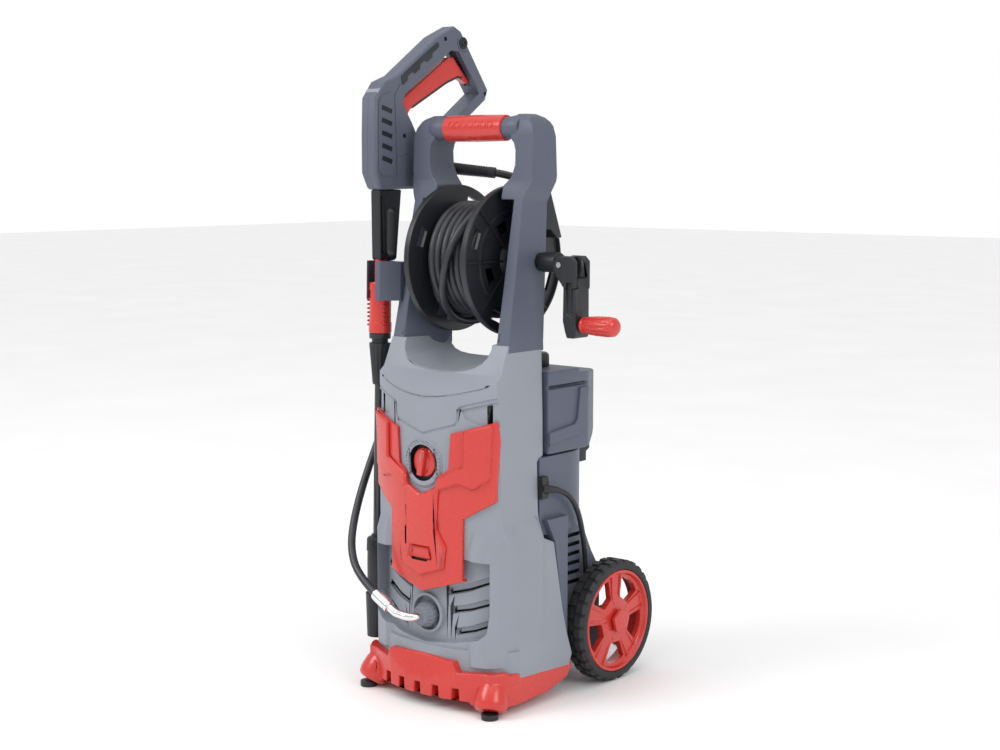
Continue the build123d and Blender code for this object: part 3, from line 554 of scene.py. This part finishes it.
def turned(name, start, end, profile, steps=40, relief=None):
    """A turned form on the line from start to end. Its profile gives each ring's place along the line and
    radius, and relief gives what a ring's radius gains at an angle."""
    first, last = at(*start), at(*end)
    lean = (last - first).to_track_quat("Z", "Y").to_matrix()
    bpy.ops.object.select_all(action="DESELECT")
    bpy.ops.mesh.primitive_circle_add(vertices=steps, radius=1, fill_type="NGON")
    piece = bpy.context.object
    piece.name = name
    bpy.ops.object.mode_set(mode="EDIT")
    for ring in profile[1:]:
        bpy.ops.mesh.extrude_region_move(TRANSFORM_OT_translate={"value": (0, 0, 0.001)})
    bpy.ops.object.mode_set(mode="OBJECT")
    for i, corner in enumerate(piece.data.vertices):
        along, radius = profile[i // steps]
        angle = math.atan2(corner.co.y, corner.co.x)
        if relief:
            radius += relief(along, radius, angle)
        corner.co = first + lean @ Vector((radius * math.cos(angle), radius * math.sin(angle), along)) / 1000
    bpy.ops.object.mode_set(mode="EDIT")
    bpy.ops.mesh.select_all(action="SELECT")
    bpy.ops.mesh.normals_make_consistent(inside=False)
    bpy.ops.object.mode_set(mode="OBJECT")
    bpy.ops.object.shade_smooth_by_angle(angle=math.radians(40))
    return piece


def fluted(count, depth, low, high, narrow=0.2, least=0, most=math.inf):
    """Relief of this many flutes between two places on the line, on rings between two radii."""
    def relief(along, radius, angle):
        cut = low < along < high and least < radius < most and math.cos(count * angle) > narrow
        return -depth if cut else 0

    return relief


def softened(node, name, skin, body, slot, width=0.8):
    """A frame part's own shape with its edges rounded, in place of the part."""
    piece = placed(name, nodes[node].data.copy())
    piece.data.materials.clear()
    piece.data.materials.append(skin)
    soften(piece, width, 2, 35)
    return dress(piece, skin, body, slot, node)


def surfaced(skin, *names):
    """Gives frame parts that stay as they are their finish."""
    for name in names:
        for holder in nodes[name].material_slots:
            holder.link = "OBJECT"
            holder.material = skin


dial = turned("knob_dial", (0, -250, KNOB_Z), (0, -270, KNOB_Z),
              [(4, 5), (4, 20.6), (9, 20.8), (11.2, 20.2), (12.4, 18.6), (12.4, 12), (11.6, 3)], 72,
              fluted(24, 0.5, 0, 11, 0.4, least=18))
painted(dial, red)
RIB_LEAN = math.radians(80)
rib_line = [about((0, KNOB_Z), reach, RIB_LEAN) for reach in (-18.6, -6, 6, 18.6)]
rib = board("rib", strip(rib_line, 9.4), "y", -270.6, 10)
soften(rib, 1.9, 3, 50)
work(dial, rib, "UNION")
# painted highlight: a light grey line on the rib's face stands for the bright bevel of the rib
rib_highlight_line = [about((0, KNOB_Z), reach, RIB_LEAN) for reach in (3, 15)]
work(dial, painted(board("rib_highlight_line", strip(rib_highlight_line, 1.3), "y", -271, 1), light_grey), "UNION")
dress(dial, red, "knob", "red", "knob")
softened("switch_box", "switch_body", black, "root", "black")


# ------------ water outlet
# A knurled grey nut holds the bent, chromed steel elbow in the outlet, and a bright crimped ferrule joins the
# short hose to it. Behind them are the cast pump, its motor and the threaded water inlet.

def metal(name, tone, gloss, grain, shine=1.0, **constants):
    """Bare or plated metal: faint cloudiness in the colour and gloss, and a fine surface."""
    place = new_skin(name)
    cloud = place.node("TexNoise", {"Vector": place, "Scale": 22, "Detail": 4}).between(0.3, 0.7)
    skin = place.node("TexNoise", {"Vector": place, "Scale": grain, "Detail": 3})
    dark = tuple(0.88 * part for part in tone)
    return finish(name, cloud.tint(dark, tone), cloud * 0.08 + gloss, skin, 0.0001, Metallic=shine,
                  **constants)


chrome = metal("chrome", (0.34, 0.35, 0.37), 0.12, 700)
steel = metal("bright_steel", (0.5, 0.5, 0.51), 0.24, 900)
cast = metal("cast_aluminium", (0.42, 0.42, 0.43), 0.45, 350)

OUTLET_Z = 128
nut = turned("outlet_knurled_nut", (0, -252, OUTLET_Z), (0, -280, OUTLET_Z),
             [(0, 9.6), (0, 17), (1.2, 17.9), (12, 17.6), (14, 15.6), (19.6, 14.6), (21, 13.2), (21, 9.6)],
             96, fluted(16, 0.9, -1, 22, 0.1, 13, 17.8))
dress(nut, moulded("mid_grey_plastic", (0.17, 0.185, 0.225), 0.4, IOR=1.46), "root", "dark_grey",
      "outlet_nut")
surfaced(chrome, "outlet_elbow")
ferrule = turned("outlet_ferrule", (-42, -290, 137), (-69, -290, 152),
                 [(-1, 6.4), (0, 8.6), (3, 8.9), (3.4, 8.2), (6, 8.2), (6.4, 9), (27, 9), (29, 8.6),
                  (31.4, 8.2), (31.4, 5.9)], 48)
dress(ferrule, chrome, "root", "chrome")
surfaced(cast, "pump")
surfaced(dark_grey, "motor")
softened("water_inlet", "water_inlet_fitting", black, "root", "black", 0.6)


# ------------ red base
# A glossy red tray under the front shell, pulled up by screws from below. Its front edge is cut into short
# teeth between two splayed feet, which stand on rubber pads.
BASE_SIDE = [(-281, 16), (-283, 34), (-272, 72), (-262, 84), (-100, 62), (-92, 40), (-104, 26), (-150, 15),
             (-240, 12)]
base = painted(board("red_base", BASE_SIDE, "x", -134, 268), red)
base_plan = [(-131, -90), (-133, -215), (-127, -240), (-116, -256)]
base_plan += [(x, -44 - math.sqrt(236 ** 2 - x * x)) for x in range(-104, 105, 8)]
base_plan += [(116, -256), (127, -240), (133, -215), (131, -90)]
work(base, board("plan", base_plan, "z", 0, 120), "INTERSECT")
top_line = [(-140, 62), (-66, 58), (-60, 72), (0, 76), (60, 72), (66, 58), (140, 62), (140, 120), (-140, 120)]
work(base, board("top", top_line, "y", -320, 110))
work(base, board("rear_top", [(-230, 58), (-60, 58), (-60, 120), (-230, 120)], "x", -200, 400))
for tooth in range(5):
    x = -64 + 32 * tooth
    work(base, board("notch", [(x - 7, 0), (x + 7, 0), (x + 5, 35), (x - 5, 35)], "y", -300, 44))
work(base, board("arch", [(-90, 0), (90, 0), (84, 18), (-84, 18)], "y", -320, 330))
for side in (-1, 1):
    foot = turned("foot", (side * 114, -254, 8.4), (side * 98, -222, 72),
                  [(0, 15), (1, 19), (4, 22.4), (12, 24), (28, 22.5), (46, 17), (58, 8)], 32)
    work(base, foot, "UNION")
    work(base, board("wheel_room", round_outline(0, AXLE_Z, 94), "x", side * 134 - 26, 52))
soften(base, 2, 3, 38)
dress(base, red, "root", "red", "base_tray")
softened("front_feet", "foot_pads", black, "root", "rubber", 1)


# ------------ handle frame
# Two dark grey arms stand on the body and carry the reel between them. Each is a hollow moulding with a
# crease down its front, a seam along it and a stepped head, and a red ribbed grip covers the bar that joins
# them.
ARM_FRONT = [(62, 500), (109.5, 500), (109, 512), (101, 706), (104, 713), (112, 735), (112, 797), (108, 811),
             (98, 823), (86, 828), (71, 828), (71, 794), (77, 788), (80, 778), (80, 758), (74, 742),
             (62, 730)]
ARM_SIDE = [(-212, 500), (-209, 512), (-168, 720), (-162, 736), (-160, 800), (-154, 820), (-143, 829),
            (-122, 829), (-110, 817), (-106, 742), (-114, 712), (-132, 512), (-132, 500)]
CREASE_PLAN = [(87, -260), (87, -210), (61, -150), (40, -150), (40, -260)]
CREASE_LEAN = 37
for side, word in ((-1, "left"), (1, "right")):
    arm_outline = [(side * x, z) for x, z in ARM_FRONT]
    arm = painted(board(f"arm_{word}_moulding", arm_outline, "y", -230, 130), dark_grey)
    side_cut(arm, ARM_SIDE)
    crease = board("crease", [(side * x, y) for x, y in CREASE_PLAN], "z", 498, 212)
    for corner in crease.data.vertices[len(CREASE_PLAN):]:
        corner.co.y += CREASE_LEAN / 1000
    work(arm, crease)
    for rise in (0, 1):
        seam_line = [(side * 90, 516 + rise * 100), (side * 88.6, 614 + rise * 92)]
        work(arm, board("seam", strip(seam_line, 1.2), "y", -230, 24 + 17 * rise))
    work(arm, board("bush_room", round_outline(REEL_Y, REEL_Z, 12), "x", side * 90 - 40, 80))
    if side > 0:
        work(arm, board("hook_room", round_outline(84, 702, 5.3), "y", -125, 30))
    soften(arm, 1.8, 3, 30)
    dress(arm, dark_grey, "root", "dark_grey", f"arm_{word}")

GRIP_Y, GRIP_Z = -146, 809
bar = turned("handle_cross_bar", (-82, GRIP_Y, GRIP_Z), (82, GRIP_Y, GRIP_Z),
             [(0, 14), (8, 17.4), (20, 15.6), (30, 15), (134, 15), (144, 15.6), (156, 17.4), (164, 14)], 40)
dress(bar, dark_grey, "root", "dark_grey", "handle_bar")
grip = turned("handle_grip_cover", (-54, GRIP_Y, GRIP_Z), (54, GRIP_Y, GRIP_Z),
              [(0, 15.2), (0, 16.8), (1.4, 18.2), (6, 18.4), (54, 18.9), (102, 18.4), (106.6, 18.2),
               (108, 16.8), (108, 15.2)], 48)
painted(grip, red)
for mark in range(7):
    x = -36 + 12 * mark
    arc = [(x + 4.4 * math.cos(math.radians(a)), GRIP_Z + 5 + 5.2 * math.sin(math.radians(a)))
           for a in range(-60, 241, 30)]
    hook = board("mark", strip(arc, 1.5), "y", -172, 20)
    work(hook, board("round", round_outline(GRIP_Y, GRIP_Z, 19.3), "x", -60, 120), "INTERSECT")
    work(grip, hook, "UNION")
smoothed(grip, 40)
dress(grip, red, "root", "red", "handle_grip")


# ------------ reel
# Two black moulded flanges with webs, windows and a rolled rim close a drum that the hose is wound on. The
# drum is fixed to a steel axle, which turns in bushes pressed into the arms.
black_gloss = moulded("black_reel_plastic", (0.016, 0.017, 0.021), 0.28, IOR=1.47)
for side, word in ((-1, "left"), (1, "right")):
    disc = turned(f"reel_flange_{word}", (side * 48, REEL_Y, REEL_Z), (side * 90, REEL_Y, REEL_Z),
                  [(0, 9), (0, 103), (0.6, 105.4), (2, 106), (9, 106), (10, 105), (10, 103), (8, 102.4),
                   (5, 101.6), (5, 72), (7.4, 71), (7.4, 69), (5, 68), (5, 27), (10.4, 22), (11.4, 20),
                   (11.4, 9)], 96)
    painted(disc, black_gloss)
    for web in range(8):
        turn = math.radians(45 * web)
        ends = [about((REEL_Y, REEL_Z), radius, turn) for radius in (19, 102.6)]
        work(disc, board("web", strip(ends, 2.6), "x", side * 54.5 - 2.5, 5), "UNION")
    for window in range(8):
        turn = math.radians(22.5 + 45 * window)
        span = math.radians(9 if window % 2 else 13)
        low, high = (78, 92) if window % 2 else (42, 60)
        wedge = [about((REEL_Y, REEL_Z), radius, turn + way * span)
                 for radius, way in ((low, -1), (high, -1), (high, 1), (low, 1))]
        work(disc, board("window", wedge, "x", side * 50 - 10, 20))
    smoothed(disc, 35)
    dress(disc, black_gloss, "reel", "black", f"flange_{word}")
surfaced(black_gloss, "drum")
surfaced(steel, "reel_axle", "fold_pin")
surfaced(black, "reel_bushes")


# ------------ crank
# A black yoke on a square hub folds about a steel pin. Its red grip is a fluted sleeve that turns freely on a
# stub, with a rounded end.
softened("crank_hub", "crank_hub_block", black, "reel", "black", 1)
YOKE = [(157, 604), (177.7, 604), (178, 526), (176, 522), (163, 522), (160, 530), (156, 545)]
EAR = [(150, 634), (171, 634), (178, 627), (178, 590), (160, 590), (146, 605), (140, 616), (141, 627)]
YOKE_HOLLOW = [(163, 598), (172, 598), (172, 552), (163, 556)]
STUB_Z = 540
yoke = painted(board("crank_yoke", YOKE, "y", REEL_Y - 16, 32), black)
for side in (-1, 1):
    work(yoke, board("ear", EAR, "y", REEL_Y + side * 14.2 - 3.8, 7.6), "UNION")
    work(yoke, board("hollow", YOKE_HOLLOW, "y", REEL_Y + side * 18 - 5, 10))
work(yoke, board("pin_room", round_outline(150, 622, 4.1), "y", REEL_Y - 30, 60))
soften(yoke, 1.6, 3, 30)
work(yoke, board("stub", round_outline(REEL_Y, STUB_Z, 3.98), "x", 177, 57), "UNION")
dress(yoke, black, "crank_arm", "black", "crank_arm")

sleeve = turned("crank_grip_sleeve", (178.5, REEL_Y, STUB_Z), (240, REEL_Y, STUB_Z),
                [(0, 4.2), (0, 9), (0.8, 10.6), (3, 11.4), (5, 10.6), (6, 10.8), (12, 12.4), (26, 13.6),
                 (44, 14), (54, 13), (57.6, 10), (58.8, 6), (58.8, 1)], 96, fluted(12, 1.1, 7, 53, 0.3))
dress(sleeve, red, "crank_grip", "red", "crank_grip")
softened("hose_swivel", "reel_swivel", black, "root", "black", 1)


# ------------ wheels
# Each wheel is a blow moulded black tyre with two rows of tread blocks on a red five spoke rim. A five sided
# cap hides the end of the steel axle.
tyre_black = rubber("tyre_black", (0.017, 0.0175, 0.02), 0.55)
TREAD_BLOCKS, TREAD_DEPTH, TYRE_MIDDLE = 30, 2.6, 18


def tread(along, radius, angle):
    """The height of the tread blocks at this ring and angle."""
    if radius < 85:
        return 0
    row = 0 if along < TYRE_MIDDLE else 0.5
    gap = (angle * TREAD_BLOCKS / (2 * math.pi) + row) % 1 < 0.26
    middle = abs(along - TYRE_MIDDLE) < 1.8
    return -TREAD_DEPTH if gap or middle else 0


TYRE = [(0.5, 75.6), (0, 80), (1, 84.9), (5, 88.6), (5.2, 90), (16, 90), (16.3, 88), (17, 87.4), (19, 87.4),
        (19.7, 88), (20, 90), (30.8, 90), (31, 88.6), (35, 84.9), (36, 80), (35, 77), (33, 75.6)]
RIM = [(0, 75.7), (32.4, 75.7), (34, 74.6), (34, 71.5), (28, 68.6), (27, 66), (27.6, 40), (31, 20), (31, 6.4)]
RIM_HOLLOW = [(-1, 72), (17, 70), (19, 66), (19, 22), (0.5, 18), (-1, 18)]
SPOKE_GAP = [(35, -17), (63, -21), (65, -10), (65.5, 0), (65, 10), (63, 21), (35, 17)]
for side, word in ((-1, "left"), (1, "right")):
    tyre = turned(f"tyre_{word}_tread", (side * 112, 0, AXLE_Z), (side * 148, 0, AXLE_Z), TYRE, 360, tread)
    painted(tyre, tyre_black)
    work(tyre, board("rim_room", round_outline(0, AXLE_Z, 75.8, 90), "x", side * 130 - 30, 60))
    smoothed(tyre, 30)
    dress(tyre, tyre_black, f"wheel_{word}", "tyre_rubber", f"tyre_{word}")
    rim = turned(f"rim_{word}_spokes", (side * 113, 0, AXLE_Z), (side * 148, 0, AXLE_Z), RIM, 90)
    painted(rim, red)
    work(rim, turned("hollow", (side * 112, 0, AXLE_Z), (side * 148, 0, AXLE_Z), RIM_HOLLOW, 90))
    for spoke in range(5):
        turn = math.radians(90 + 36 + 72 * spoke)
        window = [about((0, AXLE_Z), radius, turn + math.radians(aside)) for radius, aside in SPOKE_GAP]
        work(rim, board("window", window, "x", side * 135 - 12, 24))
        turn = math.radians(90 + 72 * spoke)
        for edge in (-1, 1):
            ends = [(math.cos(turn) * r - math.sin(turn) * edge * w,
                     AXLE_Z + math.sin(turn) * r + math.cos(turn) * edge * w) for r, w in ((20, 6), (67, 11))]
            work(rim, board("bead", strip(ends, 2.4), "x", side * 140.6 - 1.6, 3.2), "UNION")
    work(rim, board("axle_room", round_outline(0, AXLE_Z, 6.05), "x", side * 130 - 30, 60))
    soften(rim, 0.8, 2, 40)
    dress(rim, red, f"wheel_{word}", "red", f"rim_{word}")
    softened(f"hub_cap_{word}", f"hub_{word}_cap", red, f"wheel_{word}", "red", 1)
surfaced(steel, "wheel_axle")


# ------------ detergent tank
# A dark grey blow moulded tank sits on the body behind the arms. A raised band runs round its lower corner,
# and a ribbed cap closes its filler.
TANK_PLAN = [(-119, -133), (-119, -44), (-115, -34), (-100, -4), (-93, 2), (93, 2), (100, -4), (115, -34),
             (119, -44), (119, -133)]
TANK_SIDE = [(-139.5, 470), (-62, 470), (-60, 464), (10, 461), (10, 400), (6, 384), (-8, 364), (-30, 352.4),
             (-139.5, 352.4)]
LEVEL_GROOVE = [(-160, 446), (40, 446), (40, 448.6), (-160, 448.6)]
BAND = [(-134, 366), (-66, 376), (-52, 388), (-44, 442), (-64, 442), (-70, 398), (-76, 391), (-134, 384)]
tank = painted(board("tank_moulding", TANK_PLAN, "z", 340, 140), dark_grey)
side_cut(tank, TANK_SIDE)
for start in (116.6, -124.6):
    work(tank, board("level_groove", LEVEL_GROOVE, "x", start, 8))
soften(tank, 3, 3, 28)
for side in (-1, 1):
    band = board("band", BAND, "x", side * 119.4 - 4, 8)
    soften(band, 1.6, 3, 40)
    work(tank, band, "UNION")
smoothed(tank, 35)
dress(tank, dark_grey, "root", "dark_grey", "detergent_tank")
cap = turned("tank_ribbed_cap", (60, -88, 470.4), (60, -88, 500),
             [(0, 18), (0.6, 18.8), (15, 18.6), (18, 17.6), (20, 15), (20, 8), (19, 7), (19, 1)], 96,
             fluted(24, 0.8, 0.3, 16))
dress(cap, black, "tank_cap", "black", "tank_cap")


# ------------ cable hooks, gland and plug
# The upper cable hook is a black fin on a pin that swings down to free the wound lead, and the lower one is
# fixed. The lead leaves through a gland with a tapered ribbed boot, and ends in a round moulded plug with two
# pins.
softened("cable_hook", "upper_cable_hook", black, "cable_hook", "black", 2)
softened("lower_hook", "lower_cable_hook", black, "root", "black", 1.6)
softened("cord_gland", "lead_gland", black, "root", "black", 0.8)
boot_ribs = [(2 + step * 0.9, 6.3 - step * 0.07 - (0.7 if step % 4 > 1 else 0)) for step in range(28)]
boot = turned("lead_boot", (121, -150, 307), (130, -122, 302.5), [(0, 6.4), *boot_ribs, (28, 4.1)], 32)
dress(boot, lead_rubber, "root", "lead")
surfaced(lead_rubber, "plug")
surfaced(steel, "housing_screws")


# ------------ spray gun
# Two dark grey moulded halves meet on a seam and are closed by screws. A cap painted light grey as a highlight
# and a black panel with slots sit over the barrel, black soft inlays line the grip, and the red trigger turns
# on a pin inside the loop.
GUN_X = -145
LOCK_Y, LOCK_Z = -30, 940
GUN_OUTLINE = [(-209, 722), (-221, 746), (-221, 800), (-219, 853), (-200, 877), (-173, 887), (-87, 947),
               (-48, 964), (-33, 957), (29, 872), (22, 856), (-13, 832), (-112, 768), (-126, 768),
               (-126, 723)]
GUN_LOOP = [(-163, 846), (-157, 861), (-57, 928), (-40, 927), (6, 866), (-47, 829), (-122, 781), (-142, 816)]
TRIGGER_ROOM = [(-167, 834), (-162, 866), (-60, 934), (-36, 933), (-12, 908), (2, 884), (-4, 876), (-30, 880),
                (-134, 806), (-153, 812)]
WHOLE_SIDE = [(-300, 700), (100, 700), (100, 1000), (-300, 1000)]
gun_grey = moulded("gun_grey_plastic", (0.095, 0.105, 0.145), 0.38, IOR=1.46)
grip_soft = rubber("grip_soft_inlay", (0.02, 0.021, 0.026), 0.5)
INLAY = [(-160 + 0.83 * run - 0.555 * rise, 868 + 0.555 * run + 0.83 * rise)
         for run, rise in ((0, 6), (12, 6), (16, 11), (28, 11), (32, 6), (44, 6), (48, 11), (60, 11), (64, 6),
                           (76, 6), (80, 11), (98, 11), (100, 18), (4, 18))]
COVER_PANEL = [(-214, 752), (-208, 742), (-184, 742), (-179, 752), (-182, 850), (-190, 862), (-206, 857),
               (-213, 846)]
for side, word in ((-1, "left"), (1, "right")):
    half = painted(board(f"gun_half_{word}", GUN_OUTLINE, "x", GUN_X - 15, 30), gun_grey)
    soften(half, 4.6, 3, 50)
    work(half, board("loop", GUN_LOOP, "x", GUN_X - 40, 80))
    work(half, board("side", WHOLE_SIDE, "x", GUN_X + side * 10.1 - 9.95, 19.9), "INTERSECT")
    work(half, board("trigger_room", TRIGGER_ROOM, "x", GUN_X - 7.2, 14.4))
    work(half, board("button_room", round_outline(LOCK_Y, LOCK_Z, 5), "x", GUN_X - 30, 60))
    face = GUN_X + side * 15
    work(half, board("panel_room", COVER_PANEL, "x", face - 1.2, 2.4))
    work(half, board("inlay_room", INLAY, "x", face - 1.2, 2.4))
    for groove in ([(-176, 740), (-180, 858), (-168, 874)], [(-150, 775), (-170, 770), (-174, 750)],
                   [(-50, 842), (2, 874), (-24, 906)]):
        work(half, board("groove", strip(groove, 1.4), "x", face - 0.8, 1.6))
    for y, z in ((-160, 800), (-140, 745), (20, 866), (-70, 944)):
        work(half, painted(board("screw_well", round_outline(y, z, 3.4, 20), "x", face - 2, 4), black))
    for radius in (9, 13):
        arc = [about((LOCK_Y, LOCK_Z), radius, math.radians(a)) for a in range(150, 301, 15)]
        work(half, board("arc", strip(arc, 1.3), "x", face - 0.8, 1.6))
    smoothed(half, 35)
    dress(half, gun_grey, "lance", "dark_grey", f"gun_shell_{word}")

    panel = painted(board(f"gun_panel_{word}", COVER_PANEL, "x", face - 1.6, 3.2), gun_grey)
    for slot in range(5):
        z = 765 + 18 * slot
        slot_outline = strip([(-208, z + 3), (-187, z - 3)], 6.4)
        # the slots' walls are painted black: painted shade in the grooves
        work(panel, painted(board("slot", slot_outline, "x", face + side * 2.6 - 2, 4), black))
    soften(panel, 0.7, 2, 40)
    dress(panel, gun_grey, "lance", "dark_grey")
    inlay = board(f"gun_inlay_{word}", INLAY, "x", face - 1.5, 3)
    soften(inlay, 0.6, 2, 40)
    dress(inlay, grip_soft, "lance", "rubber")

# painted highlight: the light grey cap stands for the light caught on the top of the gun
HIGHLIGHT_CAP_OUTLINE = [(-216.5, 853), (-211, 864), (-199, 875), (-188, 874), (-193, 865), (-204, 858)]
highlight_cap = board("gun_painted_highlight_cap", HIGHLIGHT_CAP_OUTLINE, "x", GUN_X - 13, 26)
soften(highlight_cap, 1.4, 3, 35)
dress(highlight_cap, light_grey, "lance", "light_grey")

TRIGGER = [(-158, 846), (-153, 854), (-54, 918), (-43, 919), (-8, 884), (-11, 880), (-26, 887), (-33, 888),
           (-60, 878), (-110, 852), (-137, 839), (-142, 833), (-143, 818), (-149, 826)]
trigger = painted(board("gun_trigger", TRIGGER, "x", GUN_X - 6.5, 13), red)
soften(trigger, 2, 3, 35)
work(trigger, board("pin_room", round_outline(-151, 840, 2.05, 16), "x", GUN_X - 20, 40))
edge_line = [(-134, 842), (-60, 880), (-33, 890), (-24, 889)]
work(trigger, painted(board("edge", strip(edge_line, 3), "x", GUN_X - 6.9, 13.8), black), "UNION")
dress(trigger, red, "trigger", "red", "trigger")

lock = turned("gun_lock_button", (GUN_X - 17.5, LOCK_Y, LOCK_Z), (GUN_X + 20, LOCK_Y, LOCK_Z),
              [(0, 2), (0, 3.8), (0.8, 4.6), (34.2, 4.6), (35, 3.8), (35, 2.6), (34, 2.4), (34, 0.5)], 32)
dress(lock, black, "lock_button", "black", "lock_button")
collar = turned("gun_lock_collar", (GUN_X + 14, LOCK_Y, LOCK_Z), (GUN_X + 20, LOCK_Y, LOCK_Z),
                [(0, 9), (1.6, 9), (2.4, 8.2), (2.4, 5.4), (0, 5.2)], 40)
dress(collar, black, "lance", "black")
softened("gun_inlet", "gun_inlet_block", black, "lance", "black", 1)

RIB_PITCH, TAPER = 3.8, 0.06
restrictor_profile = [(0, 9.5)]
for ring in range(22):
    place = 4 + ring * RIB_PITCH
    restrictor_profile += [(place, 9.4 - ring * TAPER), (place + 0.5, 8.5 - ring * TAPER),
                           (place + 1.7, 8.5 - ring * TAPER), (place + 2.2, 9.4 - ring * TAPER)]
restrictor_profile += [(97, 8), (97.8, 6)]
restrictor = turned("gun_bend_restrictor", (-127, -103, 756), (-38, -61, 746), restrictor_profile, 32)
dress(restrictor, grip_soft, "lance", "rubber", "bend_restrictor")


# ------------ lance
# The black lance screws into the gun under a slotted barrel shroud. It has a red bayonet coupling, a fluted
# cone nut, a coated steel tube and a nozzle that twists to change the spray, and it stands in a cup on the
# body's side.
FOOT_POINT, TOP_POINT = (-145, -212, 63), (-145, -193, 722)
BARREL = [(-207, 722), (-206, 622), (-202, 619), (-175, 619), (-171, 622), (-160, 722)]
OVAL_R = 7.4
barrel = painted(board("barrel_shroud", BARREL, "x", GUN_X - 9, 18), black)
oval = [about((y, z), OVAL_R, math.radians(a))
        for y, z, first in ((-182, 687, 0), (-183, 634, 180)) for a in range(first, first + 181, 20)]
work(barrel, board("oval", oval, "x", GUN_X - 30, 60))
for side in (-1, 1):
    work(barrel, board("groove", strip([(-199, 630), (-201, 712)], 3), "x", GUN_X + side * 9.4 - 1, 2))
soften(barrel, 2.4, 3, 35)
dress(barrel, black, "lance", "dark_grey", "gun_barrel")

coupling = turned("lance_bayonet_coupling", FOOT_POINT, TOP_POINT,
                  [(451, 12), (451, 16), (452, 16.8), (466, 16.8), (467, 15.9), (512, 15.9), (513, 16.8),
                   (523, 16.8), (525, 15.6), (525, 9), (562, 9)], 48)
painted(coupling, red)
for rib in range(9):
    low = 524 + 6 * rib
    for side in (-1, 1):
        rib_outline = [(GUN_X + side * out, low + up) for out, up in ((15, 0), (15, 3), (17, 2), (17, 1))]
        work(coupling, board("rib", rib_outline, "y", -209, 14), "UNION")
smoothed(coupling, 35)
dress(coupling, red, "lance", "red", "lance_coupling")
cone = turned("lance_cone_nut", FOOT_POINT, TOP_POINT,
              [(375, 7.4), (375, 9.6), (377, 10.4), (400, 12.4), (430, 15.4), (436, 15.9), (437, 12),
               (442, 12), (442.4, 15.2), (443.4, 15.9), (450.4, 15.9), (450.8, 15)], 96,
              fluted(14, 1, 380, 432))
dress(cone, black, "lance", "black", "lance_nut")
coated = metal("black_coated_steel", (0.02, 0.02, 0.023), 0.26, 800, 0.0, Coat_Weight=0.4)
tube = turned("lance_coated_tube", FOOT_POINT, TOP_POINT,
              [(150, 7), (200, 7), (300, 7), (376, 7), (400, 7)], 32)
dress(tube, coated, "lance", "steel", "lance_tube")
body = turned("nozzle_holder", FOOT_POINT, TOP_POINT,
              [(62.4, 12), (62.4, 14), (63.4, 14.6), (112, 15.3), (126, 15.4), (127, 16.6), (144, 16.2),
               (147, 14), (148, 10), (151, 9.4), (151, 7)], 96, fluted(8, 0.9, 70, 110))
dress(body, black, "lance", "black", "nozzle_body")
tip = turned("nozzle_twist_tip", FOOT_POINT, TOP_POINT,
             [(7, 3), (6.8, 7), (7.6, 9), (30, 9.8), (61, 10), (62, 9.4), (62, 8)], 96,
             fluted(12, 0.6, 10, 58))
dress(tip, black, "nozzle_tip", "black", "nozzle_tip")
softened("lance_clip", "lance_side_clip", dark_grey, "root", "dark_grey", 0.4)
softened("lance_cup", "lance_foot_cup", black, "root", "black", 0.8)


# ------------ floor and light
# A plain matt white floor under an even white room, which shows brighter than it lights. Two soft lamps stand
# in front and to the right, and a wide light overhead fills the shadows.
ROOM_LIGHT, ROOM_SHOWN_MORE = 0.72, 0.28
floor_skin = new_skin("floor")
shade = floor_skin.node("TexNoise", {"Vector": floor_skin, "Scale": 3, "Detail": 3}).between(0.2, 0.8)
finish("floor", shade.tint((0.88, 0.88, 0.88), (0.92, 0.92, 0.92)), shade * 0.05 + 0.7, shade, 0.0002)
bpy.ops.object.select_all(action="DESELECT")
bpy.ops.mesh.primitive_plane_add(size=30)
floor = bpy.context.object
floor.name = "floor"
floor.data.materials.append(bpy.data.materials["floor"])
world = bpy.data.worlds.new("studio")
world.use_nodes = True
world.node_tree.nodes["Background"].inputs["Color"].default_value = (1, 1, 1, 1)
backdrop = world.node_tree.nodes["Background"].inputs["Strength"]
seen = Signal(world.node_tree).node("LightPath", output="Is Camera Ray")
world.node_tree.links.new((seen * ROOM_SHOWN_MORE + ROOM_LIGHT).socket, backdrop)
bpy.context.scene.world = world
for name, place, size, power in (("key", (-1.4, -2.6, 2.6), 1.5, 48), ("side", (2.8, -0.6, 1.8), 1.4, 26)):
    lamp = placed(name, bpy.data.lights.new(name, "AREA"))
    lamp.location = place
    lamp.data.size = size
    lamp.data.energy = power
    lamp.rotation_euler = (Vector((0, 0, 0.45)) - lamp.location).to_track_quat("-Z", "Y").to_euler()

sky = placed("sky", bpy.data.lights.new("sky", "SUN"))
sky.data.energy = 0.85
sky.data.angle = math.radians(70)
sky.rotation_euler = (math.radians(8), 0, 0)
